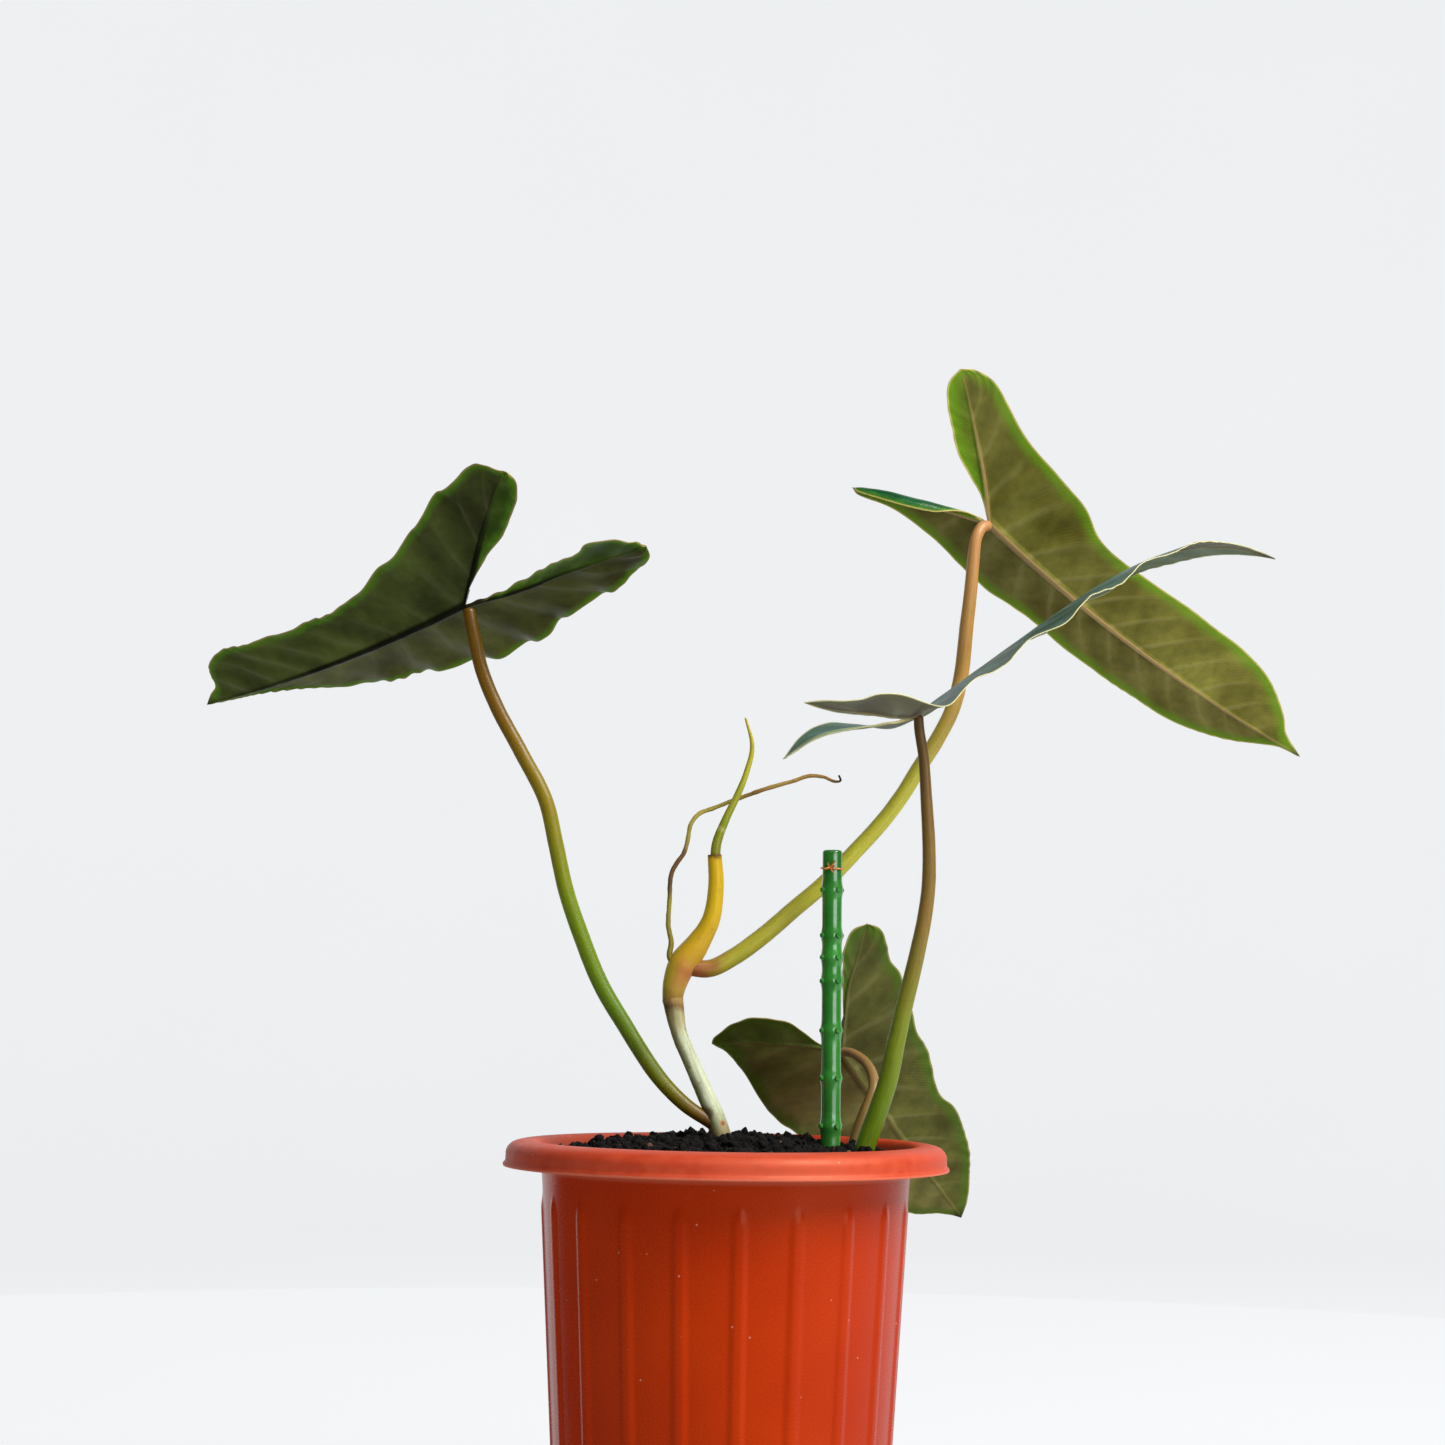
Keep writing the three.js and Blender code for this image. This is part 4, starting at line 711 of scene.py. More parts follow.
def across_lobe(rib, edge, way, shares, curl, twist):
    """Points across a lobe from its rib to an edge, rolled down by curl and turned by twist."""
    width = edge - rib
    length = np.sum(width * way, -1, keepdims=True)
    sideways = width - way * length
    reach = np.linalg.norm(sideways, axis=-1, keepdims=True)
    roll = np.maximum(curl, 1e-3)[:, None]
    out = reach * np.sin(roll * shares) / roll
    down = reach * (1 - np.cos(roll * shares)) / roll
    turn = twist[:, None]
    part = (out * np.cos(turn) + down * np.sin(turn)) / np.maximum(reach, 1e-6)
    points = rib[:, None] + way[:, None] * (length * shares)[..., None] + sideways[:, None] * part[..., None]
    lift = out * np.sin(turn) - down * np.cos(turn)
    return np.concatenate([points, lift[..., None]], -1)


def vein_phase(along, shares, base, spread):
    """Counts the side veins: a whole number on each vein, for rows at a distance along the ribs."""
    start = np.linspace(-60, along.max() + 60, 900)
    lean = spread * np.tanh((start - base) / VEIN_FAN) * np.clip(start / 90, 0.05, 1)
    run = 0.7 * shares + 0.3 * shares ** 2.5
    return np.stack([np.interp(along, start + lean * r, start) for r in run], 1) / VEIN_PITCH


def half_blade(leaf, half, sign):
    """The two sheets of one half, outside the ribs and inside the notch, with what their skins need."""
    length = leaf["length"]
    tip = (length, leaf["sickle"] * (length / BEND_LENGTH) ** 2)
    edge = smooth_line([tip, *half["edge"], half["lobe"]])
    rib = smooth_line([(0, 0), *half["rib"], half["lobe"]])
    notch = smooth_line([(0, 0), *half["notch"], half["lobe"]])
    outer_shares = np.linspace(0, 1, OUTER_COLUMNS + 1) ** 1.6
    notch_shares = np.linspace(0, 1, NOTCH_COLUMNS + 1) ** 1.5
    u = np.linspace(0, 1, BLADE_ROWS + 1)
    x = length * (1 - u)
    spine = np.stack([x, leaf["sickle"] * (x / BEND_LENGTH) ** 2], -1)
    margin = edge(u * half["ahead"])
    blade = spine[:, None] + (margin - spine)[:, None] * outer_shares[:, None]
    blade = np.concatenate([blade, np.zeros((*blade.shape[:2], 1))], -1)
    widths, thick = [np.linalg.norm(margin - spine, axis=-1)], [0.1 + 0.9 * u]
    v = np.linspace(0, 1, LOBE_ROWS + 1)
    spine, way = rib(v), rib(v, slope=True)
    beyond, within = edge(half["ahead"] + (1 - half["ahead"]) * v), notch(v)
    ease = np.clip(v / 0.6, 0, 1)
    twist = math.radians(half["twist"]) * ease ** 2 * (3 - 2 * ease)
    curl = math.radians(half["curl"]) * np.minimum(1, v / 0.4)
    lobe = across_lobe(spine, beyond, way, outer_shares, curl * 0, twist)
    inner = across_lobe(spine, within, way, notch_shares, curl, -twist)
    widths.append(np.linalg.norm(beyond - spine, axis=-1)[1:])
    thick.append(0.8 * (1 - v[1:]))
    along = np.concatenate([length * u, length + rib.length * v[1:]])
    flat = np.concatenate([blade, lobe[1:]])
    sheets = []
    for points, far, stout, runs, shares, spread in (
        (flat, np.concatenate(widths), np.concatenate(thick), along, outer_shares, VEIN_SPREAD),
        (inner, np.linalg.norm(within - spine, axis=-1), 0.8 * (1 - v), length + rib.length * v,
         notch_shares, NOTCH_SPREAD),
    ):
        every = np.ones((len(far), len(shares)))
        sheets.append({
            "place": bent(leaf, half, sign, points),
            "rib_gap": far[:, None] * shares,
            "edge_gap": far[:, None] * (1 - shares),
            "vein_phase": vein_phase(runs, shares, length, spread) + 0.37,
            "half_side": every * sign,
            "in_notch": every * (spread == NOTCH_SPREAD),
            "from_tip": every * runs[:, None],
            "stout": every * stout[:, None],
        })
    return sheets


def blade_axes(leaf):
    """The blade's own axes in the frame: along the midrib, to its left, and out of its upper face."""
    along = Vector(leaf["tip"]).normalized()
    up = Vector((0, 0, 1))
    level = (up - along * up.dot(along)).normalized()
    across = level.cross(along)
    bank = math.radians(leaf["bank"])
    above = level * math.cos(bank) + across * math.sin(bank)
    left = above.cross(along)
    return np.array([along, left, above])


def build_blade(name, leaf, skins, quilt, crimp):
    """The blade as one thin closed piece. quilt is how far its skin stands out between side veins, and
    crimp how far the margin puckers."""
    points, faces, facts = [], [], {k: [] for k in SKIN_FACTS}
    start = 0
    for half, sign in ((leaf["left"], 1), (leaf["right"], -1)):
        for sheet, turned_over in zip(half_blade(leaf, half, sign), (sign < 0, sign > 0)):
            rows, columns = sheet["rib_gap"].shape
            points.append(sheet["place"].reshape(-1, 3))
            for key in facts:
                facts[key].append(sheet[key].ravel())
            i = start + np.arange((rows - 1) * columns).reshape(rows - 1, columns)[:, :-1].ravel()
            quads = np.stack([i, i + 1, i + columns + 1, i + columns], 1)
            faces.append(quads[:, ::-1] if turned_over else quads)
            start += rows * columns
    points, faces = np.concatenate(points), np.concatenate(faces)
    # The sheets meet along the ribs, where their points become one.
    cells = np.round(points / SAME_PLACE)
    _, first, shared = np.unique(cells, axis=0, return_index=True, return_inverse=True)
    points, faces = points[first], shared.ravel()[faces]
    facts = {key: np.concatenate(value)[first] for key, value in facts.items()}
    rib_gap, edge_gap, phase, _, _, from_tip, stout = facts.values()
    corners = points[faces]
    face_normals = np.cross(corners[:, 2] - corners[:, 0], corners[:, 3] - corners[:, 1])
    normals = np.zeros_like(points)
    for k in range(4):
        np.add.at(normals, faces[:, k], face_normals)
    normals /= np.maximum(np.linalg.norm(normals, axis=1, keepdims=True), 1e-9)
    # The skin swells between side veins, the margin puckers, and the ribs stand out below.
    window = np.clip(edge_gap / 9, 0, 1) * np.clip(rib_gap / 8, 0, 1)
    quilted = -quilt * np.cos(2 * np.pi * phase) * window
    run = phase * VEIN_PITCH
    pucker = np.sin(run / 1.6 + 2 * np.sin(run / 9)) * (0.6 + 0.4 * np.sin(run / 13 + 1))
    quilted += crimp * pucker * np.exp(-edge_gap / 4.5) * np.clip(from_tip / 25, 0, 1)
    rib_width = 0.7 + 2.3 * stout
    bulge = 2 * stout * np.sqrt(np.clip(1 - (rib_gap / rib_width) ** 2, 0, 1))
    groove = 0.35 * stout * np.exp(-(rib_gap / 1.3) ** 2)
    half_thick = BLADE_THICKNESS / 2
    upper = points + normals * (half_thick + quilted - groove)[:, None]
    under = points - normals * (half_thick - quilted + bulge)[:, None]
    placed = (np.concatenate([upper, under]) @ blade_axes(leaf) + np.array(leaf["stalk"])) * MM
    count = len(points)
    all_faces, looks, edges = [], [], {}
    for face in faces.tolist():
        ring = [v for v, after in zip(face, face[1:] + face[:1]) if v != after]
        if len(ring) < 3:
            continue
        all_faces += [ring, [v + count for v in reversed(ring)]]
        looks += [0, 1]
        for pair in zip(ring, ring[1:] + ring[:1]):
            edges[pair] = True
    for a, b in edges:
        if (b, a) not in edges:
            all_faces.append([a + count, b + count, b, a])
            looks.append(2)
    piece = new_piece(name, placed, all_faces, smooth_angle=60)
    for skin in skins:
        piece.data.materials.append(skin)
    piece.data.polygons.foreach_set("material_index", looks)
    for key, values in facts.items():
        mark(piece, key, np.concatenate([values, values]))
    return piece


def leaf_skin(name, left, right, notch, vein, rib, band, edge, band_width=9, band_share=0.8, rough=0.42,
              sunk=False, vein_share=0.45, rib_width=2.2, rib_fade=0.35):
    """Leathery leaf skin. left, right and notch are a dark and a light tone for each half of the blade
    and for the strips beside the notch; the side veins, the midrib, the thin band where light comes
    through at the margin, and the margin's own line have a colour each. The midrib's colour fades to
    rib_fade where it is thin. sunk is for the upper face, where the veins lie in grooves."""
    material, tree, place = new_material(name)
    rib_gap, edge_gap, phase, side, in_notch, from_tip, stout = (
        put(tree, "ShaderNodeAttribute", attribute_name=key).outputs["Fac"] for key in SKIN_FACTS
    )
    cloud = put(tree, "ShaderNodeTexNoise", {"Vector": place, "Scale": per(38), "Detail": 4})
    grain = put(tree, "ShaderNodeTexNoise", {"Vector": place, "Scale": per(1.6), "Detail": 3})
    mottle = put(tree, "ShaderNodeTexNoise", {"Vector": place, "Scale": per(6), "Detail": 5})
    on_right, on_left, strip = (
        put(tree, "ShaderNodeValToRGB", {"Fac": cloud}, stops=[(0.35, dark), (0.65, light)])
        for dark, light in (right, left, notch)
    )
    which = put(tree, "ShaderNodeMapRange", {"Value": side, "From Min": -0.5, "From Max": 0.5})
    ground = put(tree, "ShaderNodeMix", {"Factor": which, "A": on_right, "B": on_left}, data_type="RGBA")
    ground = put(tree, "ShaderNodeMix", {"Factor": in_notch, "A": ground, "B": strip}, data_type="RGBA")
    # The tone varies: in a mottle, up and down between side veins, and from the young tip back.
    wobble = put(tree, "ShaderNodeMath", {0: cloud, 1: 0.25, 2: phase}, operation="MULTIPLY_ADD")
    beat = put(tree, "ShaderNodeMath", {0: wobble, 1: 0.5}, operation="PINGPONG")
    vein_gap = put(tree, "ShaderNodeMath", {0: beat, 1: VEIN_PITCH}, operation="MULTIPLY")
    tone = put(tree, "ShaderNodeMapRange", {
        "Value": mottle, "From Min": 0.3, "From Max": 0.7, "To Min": 0.84, "To Max": 1.14})
    hollow = put(tree, "ShaderNodeMapRange", {
        "Value": beat, "From Min": 0.05, "From Max": 0.45, "To Min": 1.12, "To Max": 0.88})
    young = put(tree, "ShaderNodeMapRange", {
        "Value": from_tip, "From Min": 120, "From Max": 330, "To Min": 1.12, "To Max": 0.8})
    mixed_tone = put(tree, "ShaderNodeMath", {0: tone, 1: hollow}, operation="MULTIPLY")
    shaded = put(tree, "ShaderNodeMath", {0: mixed_tone, 1: young}, operation="MULTIPLY")
    mottled = put(tree, "ShaderNodeVectorMath", {0: ground, "Scale": shaded}, operation="SCALE")
    # Side veins fade out before the edge, with fine striae between them.
    on_vein = put(tree, "ShaderNodeMapRange", {
        "Value": vein_gap, "From Min": 0.3, "From Max": 3.6, "To Min": 1, "To Max": 0},
        interpolation_type="SMOOTHSTEP")
    fading = put(tree, "ShaderNodeMapRange", {
        "Value": edge_gap, "From Min": 3, "From Max": 24, "To Min": 0.1, "To Max": 1})
    vein_amount = put(tree, "ShaderNodeMath", {0: on_vein, 1: fading}, operation="MULTIPLY")
    fine_phase = put(tree, "ShaderNodeMath", {0: wobble, 1: 14}, operation="MULTIPLY")
    fine = put(tree, "ShaderNodeMath", {0: fine_phase, 1: 0.5}, operation="PINGPONG")
    striae = put(tree, "ShaderNodeMapRange", {
        "Value": fine, "From Min": 0, "From Max": 0.35, "To Min": 1, "To Max": 0})
    shown = put(tree, "ShaderNodeMath", {0: vein_amount, 1: vein_share}, operation="MULTIPLY")
    seen = put(tree, "ShaderNodeMath", {0: striae, 1: vein_share * 0.22, 2: shown}, operation="MULTIPLY_ADD")
    veined = put(tree, "ShaderNodeMix", {"Factor": seen, "A": mottled, "B": vein}, data_type="RGBA")
    # The band at the margin is ragged inwards, and the cut edge has its own line.
    ragged = put(tree, "ShaderNodeMath", {0: mottle, 1: 6.0, 2: edge_gap}, operation="MULTIPLY_ADD")
    in_band = put(tree, "ShaderNodeMapRange", {
        "Value": ragged, "From Min": 3.5, "From Max": 3.5 + band_width, "To Min": band_share, "To Max": 0},
        interpolation_type="SMOOTHSTEP")
    banded = put(tree, "ShaderNodeMix", {"Factor": in_band, "A": veined, "B": band}, data_type="RGBA")
    on_edge = put(tree, "ShaderNodeMapRange", {
        "Value": edge_gap, "From Min": 0.4, "From Max": 1.3, "To Min": 0.85, "To Max": 0})
    edged = put(tree, "ShaderNodeMix", {"Factor": on_edge, "A": banded, "B": edge}, data_type="RGBA")
    # The rib is as wide as it is stout, and the very tip is dry and brown.
    rib_edge = put(tree, "ShaderNodeMapRange", {
        "Value": stout, "To Min": rib_width * 0.45, "To Max": rib_width * 1.15})
    rib_core = put(tree, "ShaderNodeMath", {0: rib_edge, 1: 0.45}, operation="MULTIPLY")
    rib_share = put(tree, "ShaderNodeMapRange", {
        "Value": stout, "From Min": 0.1, "From Max": 0.5, "To Min": rib_fade, "To Max": 0.9})
    on_rib = put(tree, "ShaderNodeMapRange", {
        "Value": rib_gap, "From Min": rib_core, "From Max": rib_edge, "To Min": rib_share, "To Max": 0},
        interpolation_type="SMOOTHSTEP")
    ribbed = put(tree, "ShaderNodeMix", {"Factor": on_rib, "A": edged, "B": rib}, data_type="RGBA")
    at_tip = put(tree, "ShaderNodeMapRange", {
        "Value": from_tip, "From Min": 3, "From Max": 11, "To Min": 0.8, "To Max": 0})
    tipped = put(tree, "ShaderNodeMix", {"Factor": at_tip, "A": ribbed, "B": "#2a2412"}, data_type="RGBA")
    gloss = put(tree, "ShaderNodeMapRange", {
        "Value": mottle, "From Min": 0.3, "From Max": 0.7, "To Min": rough - 0.05, "To Max": rough + 0.08})
    veins = put(tree, "ShaderNodeMath", {0: striae, 1: 0.25, 2: vein_amount}, operation="MULTIPLY_ADD")
    pores = put(tree, "ShaderNodeMath", {0: grain, 1: 0.35, 2: veins}, operation="MULTIPLY_ADD")
    bump = put(tree, "ShaderNodeBump", {"Height": pores, "Strength": 0.5, "Distance": 0.35 * MM}, invert=sunk)
    shader = put(tree, "ShaderNodeBsdfPrincipled", {
        "Base Color": tipped, "Roughness": gloss, "Normal": bump, "Specular IOR Level": 0.16})
    put(tree, "ShaderNodeOutputMaterial", {"Surface": shader})
    return material


def set_leaf(side, drawing, quilt, crimp, upper, under, edge):
    """A blade in its place, with skins for its upper face, its underside and its cut edge. The upper
    face has the same tones on both halves."""
    upper["right"] = upper["left"]
    cut = {**under, "left": (edge, edge), "right": (edge, edge), "notch": (edge, edge), "band_share": 0.0}
    skins = [
        leaf_skin(side + "_leaf_upper_skin", **upper, edge=edge, sunk=True),
        leaf_skin(side + "_leaf_under_skin", **under, edge=edge),
        leaf_skin(side + "_leaf_margin", **cut, edge=edge),
    ]
    stand_for(build_blade("leaf_" + side, drawing, skins, quilt, crimp), "blade_" + side)


set_leaf(
    "left", LEAF_LEFT, quilt=0.35, crimp=0.8,
    upper=dict(left=("#16300f", "#1f4016"), notch=("#1c3c10", "#28520f"), vein="#4a6a34", rib="#6a7a38",
               band="#3f7a12", rough=0.34, vein_share=0.25, band_width=5),
    under=dict(left=("#2e3410", "#48541c"), right=("#383916", "#535726"), notch=("#324a06", "#46620c"),
               vein="#5c6040", rib="#0e0c06", band="#4a7a06", rough=0.4, vein_share=0.2, rib_width=3.2,
               band_width=6, rib_fade=0.0),
    edge="#8a7c48")
set_leaf(
    "upper_right", LEAF_UPPER_RIGHT, quilt=0.25, crimp=0.25,
    upper=dict(left=("#0a3c1c", "#104e26"), notch=("#0a4220", "#12582c"), vein="#3d7a3a", rib="#6f8440",
               band="#3f7a1e", rough=0.28, vein_share=0.2, band_width=4),
    under=dict(left=("#544e18", "#706c30"), right=("#545014", "#72702c"), notch=("#56680c", "#688214"),
               vein="#8a8658", rib="#9c8254", band="#5f8c0c", rough=0.4, vein_share=0.24, rib_width=1.7,
               rib_fade=0.2),
    edge="#bfae62")
set_leaf(
    "right", LEAF_RIGHT, quilt=0.2, crimp=0.3,
    upper=dict(left=("#3c564b", "#54706a"), notch=("#46604f", "#5c7868"), vein="#7d9288", rib="#8a9a70",
               band="#5a7a50", rough=0.45, vein_share=0.25, band_share=0.3),
    under=dict(left=("#4a5a48", "#5e6e5a"), right=("#4e4c38", "#625e48"), notch=("#4a5a48", "#5e6e5a"),
               vein="#7a7c62", rib="#8a7c50", band="#6a7248", vein_share=0.4, band_share=0.4),
    edge="#bcb88e")
set_leaf(
    "low", LEAF_LOW, quilt=0.25, crimp=0.4,
    upper=dict(left=("#1c3414", "#28481c"), notch=("#22440f", "#2f5c14"), vein="#5f7444", rib="#80864c",
               band="#4c8416", rough=0.34, vein_share=0.3),
    under=dict(left=("#5a5828", "#7a783a"), right=("#444418", "#5c5e26"), notch=("#4a5420", "#5c682a"),
               vein="#7c7a50", rib="#66602e", band="#466a10", vein_share=0.28, band_width=10,
               rib_width=1.7),
    edge="#a09458")

# NEW GROWTH: SHEATH, LEAF SPIKE AND AERIAL ROOT
# At the stem's top the yellow sheath of the last leaf still wraps the next one, which stands out of it
# as a rolled spike. An aerial root grows from the same node, woody where it is old and corky in patches.
SHEATH = {
    "route": [(-31.3, 4, 311), (-30, 4, 321), (-26, 4, 332), (-18, 3, 343), (-10.5, 1, 357),
              (-8, 0, 375), (-9, 0, 393)],
    "radii": [5.4, 6.8, 8, 7.2, 5.6, 4.9, 4.5, 4.2, 3.9],
}
LEAF_SPIKE = {
    "route": [(-8.6, 0, 385), (-8, 0, 399), (-3, 0, 413), (3, 1, 426), (8, 1, 439), (11, 2, 454),
              (7, 3, 470)],
    "radii": [2.9, 2.7, 2.2, 1.9, 1.6, 1.2, 0.6],
}
AERIAL_ROOT = {
    "route": [(-28, 4, 330), (-33, 2, 336), (-32.3, 2, 344), (-34, 1, 353), (-33.6, 0, 368), (-33, 0, 381),
              (-30, 1, 388), (-26, 2, 394), (-24, 4, 402), (-22.5, 5, 410), (-18, 7, 416),
              (-10, 9, 419.5), (1, 10, 424), (9, 9, 427), (20, 8, 431), (34, 6, 435), (43, 5, 438),
              (51, 4, 437.5), (57.5, 3, 435), (60.5, 3, 435.5), (59.5, 2, 438.5)],
    "radii": [1.9, 1.4, 1.3, 1.3, 1.25, 1.25, 1.2, 1.2, 1.2, 1.1, 0.6],
}
sheath_skin = stem_skin(
    "waxy_yellow_sheath",
    [(0.0, "#5e3c18"), (0.03, "#8a6c28"), (0.1, "#b08c34"), (0.19, "#b47038"), (0.27, "#bc8834"),
     (0.36, "#c49a20"), (0.7, "#ccaa04"), (0.97, "#c4a208"), (1.0, "#6a4c14")],
    # back: painted shade, duller and greener where the sheath faces left, away from the light.
    back=[(0.0, "#5e3c18"), (0.03, "#8a7028"), (0.12, "#a89424"), (0.35, "#bc9c1c"), (0.6, "#c4a40c"),
          (0.97, "#bc9c08"), (1.0, "#6a4c14")],
    fleck="#a0602c", flecks=0.4, rough=0.36, streak=0.08)
stand_for(sweep("sheath_wrap", SHEATH, sheath_skin, lump=0.3, rounded=()), "sheath")
spike_skin = stem_skin(
    "waxy_leaf_spike",
    [(0.0, "#7c7614"), (0.22, "#80861a"), (0.25, "#a3a34e"), (0.28, "#80881a"), (0.6, "#98991e"),
     (1.0, "#a8941e")],
    flecks=0.15, rough=0.38, streak=0.2)
stand_for(sweep("spike", LEAF_SPIKE, spike_skin, lump=0.15, step=1), "leaf_spike")
root_skin = stem_skin(
    "corky_aerial_root",
    [(0.0, "#7a6e20"), (0.22, "#94882c"), (0.28, "#5a4420"), (0.36, "#6a4a22"), (0.44, "#948c34"),
     (0.62, "#9c8a38"), (0.7, "#80602c"), (0.8, "#b0904a"), (0.93, "#987438"), (0.97, "#2c1c10")],
    fleck="#5a3a1c", flecks=0.6, rough=0.6, streak=0.35)
stand_for(sweep("root", AERIAL_ROOT, root_skin, lump=0.7, lump_size=4, step=0.8, sides=16),
          "aerial_root")

# PLANT STAKE
# A thin steel tube coated in glossy green plastic, pushed into the soil beside the stem. Rows of small
# nubs moulded in the coating keep ties from sliding, and the coating swells a little at each row.
STAKE_RADIUS, STAKE_TOP, STAKE_FOOT = 5.4, (56, -12, 396), (58, -12, 60)
STAKE_NUB_HEIGHTS = [374, 349, 337, 324, 297, 271, 245]
# PVC dip coating: glossy and even, with slow waves where it ran and a little dust.
green_coating, tree, place = new_material("green_pvc_coating")
cloud = put(tree, "ShaderNodeTexNoise", {"Vector": place, "Scale": per(16), "Detail": 3})
dust = put(tree, "ShaderNodeTexNoise", {"Vector": place, "Scale": per(2), "Detail": 5})
colour = put(tree, "ShaderNodeValToRGB", {"Fac": cloud}, stops=[(0.35, "#246c22"), (0.65, "#30802c")])
rough = put(tree, "ShaderNodeMapRange", {
    "Value": dust, "From Min": 0.35, "From Max": 0.7, "To Min": 0.17, "To Max": 0.26})
bump = put(tree, "ShaderNodeBump", {"Height": cloud, "Strength": 0.08, "Distance": 0.3 * MM})
shader = put(tree, "ShaderNodeBsdfPrincipled", {
    "Base Color": colour, "Roughness": rough, "Normal": bump, "IOR": 1.53, "Specular IOR Level": 1.0})
put(tree, "ShaderNodeOutputMaterial", {"Surface": shader})

# Each point of nub_row becomes a ring of nubs, which point outwards.
stake_tree, given = new_tree("nubbed_stake", {
    "Nubs In Row": "Int", "First Nub": "Float", "Stake Radius": "Float", "Nub Radius": "Float",
    "Nub Tip": "Float", "Nub Proud": "Float", "Coating": "Material",
})
is_row = put(stake_tree, "GeometryNodeInputNamedAttribute", {"Name": "nub_row"}, data_type="BOOLEAN")
parted = put(stake_tree, "GeometryNodeSeparateGeometry", {
    "Geometry": given["Geometry"], "Selection": is_row}, domain="POINT")
copies = put(stake_tree, "GeometryNodeDuplicateElements", {
    "Geometry": parted.outputs["Selection"], "Amount": given["Nubs In Row"]}, domain="POINT")
turn_each = put(stake_tree, "ShaderNodeMath", {0: 2 * math.pi, 1: given["Nubs In Row"]}, operation="DIVIDE")
turn = put(stake_tree, "ShaderNodeMath", {
    0: copies.outputs["Duplicate Index"], 1: turn_each, 2: given["First Nub"]}, operation="MULTIPLY_ADD")
spin = put(stake_tree, "ShaderNodeCombineXYZ", {"Z": turn})
double = put(stake_tree, "ShaderNodeMath", {0: given["Nub Proud"], 1: 2}, operation="MULTIPLY")
cone = put(stake_tree, "GeometryNodeMeshCone", {
    "Vertices": 10, "Side Segments": 2, "Radius Bottom": given["Nub Radius"], "Radius Top": given["Nub Tip"],
    "Depth": double})
radius_back = put(stake_tree, "ShaderNodeMath", {0: given["Stake Radius"], 1: -1}, operation="MULTIPLY")
inner_end = put(stake_tree, "ShaderNodeMath", {
    0: given["Nub Proud"], 1: 0.9, 2: radius_back}, operation="MULTIPLY_ADD")
seat = put(stake_tree, "ShaderNodeCombineXYZ", {"Y": inner_end})
nub = put(stake_tree, "GeometryNodeTransform", {
    "Geometry": cone, "Translation": seat, "Rotation": (math.pi / 2, 0, 0)})
nubs = put(stake_tree, "GeometryNodeInstanceOnPoints", {
    "Points": copies.outputs["Geometry"], "Instance": nub, "Rotation": spin})
joined = put(stake_tree, "GeometryNodeJoinGeometry")
stake_tree.links.new(nubs.outputs[0], joined.inputs[0])
stake_tree.links.new(parted.outputs["Inverted"], joined.inputs[0])
end_tree(stake_tree, joined, given["Coating"])


def on_stake(height):
    """The middle of the leaning stake at a height, both in mm."""
    share = (height - STAKE_FOOT[2]) / (STAKE_TOP[2] - STAKE_FOOT[2])
    return np.array(STAKE_FOOT) * (1 - share) + np.array(STAKE_TOP) * share


length = STAKE_TOP[2] - STAKE_FOOT[2]
heights = np.linspace(14, length - 1.4, 190)
swell = sum(0.8 * np.exp(-((heights - (z - STAKE_FOOT[2])) / 3) ** 2) for z in STAKE_NUB_HEIGHTS)
shaft = [(0, 0), (1.2, 3.1), *zip(STAKE_RADIUS + swell, heights), (5.25, length - 0.8), (4.9, length - 0.3),
         (4.3, length), (0, length - 0.1)]
points, faces = turned(shaft, turns=40)
lean = Matrix.Rotation(math.atan2(STAKE_TOP[0] - STAKE_FOOT[0], length), 3, "Y")
points = points @ np.array(lean).T + np.array(STAKE_FOOT)
rows = [on_stake(z) for z in STAKE_NUB_HEIGHTS]
stake = new_piece("stake_rod", np.concatenate([points, rows]) * MM, faces, smooth_angle=50)
mark(stake, "nub_row", [False] * len(points) + [True] * len(rows), "BOOLEAN")
stake = grow(stake, stake_tree, {
    "Nubs In Row": 4, "First Nub": math.radians(31), "Stake Radius": STAKE_RADIUS * MM,
    "Nub Radius": 2.7 * MM, "Nub Tip": 1.2 * MM, "Nub Proud": 1.6 * MM, "Coating": green_coating,
})
stand_for(stake, "plant_stake")

# TWIST TIE
# A turn of thin copper-coloured wire round the stake, its ends twisted together in front and bent apart.
# Drawn wire is smooth, with a satin gloss and a patchy tarnish.
copper_wire, tree, place = new_material("drawn_copper_wire")
tarnish = put(tree, "ShaderNodeTexNoise", {"Vector": place, "Scale": per(3), "Detail": 4})
colour = put(tree, "ShaderNodeValToRGB", {"Fac": tarnish}, stops=[(0.35, "#c8722f"), (0.65, "#eda45c")])
rough = put(tree, "ShaderNodeMapRange", {
    "Value": tarnish, "From Min": 0.3, "From Max": 0.7, "To Min": 0.3, "To Max": 0.5})
bump = put(tree, "ShaderNodeBump", {"Height": tarnish, "Strength": 0.3, "Distance": 0.1 * MM})
shader = put(tree, "ShaderNodeBsdfPrincipled", {
    "Base Color": colour, "Roughness": rough, "Normal": bump, "Metallic": 0.5})
put(tree, "ShaderNodeOutputMaterial", {"Surface": shader})

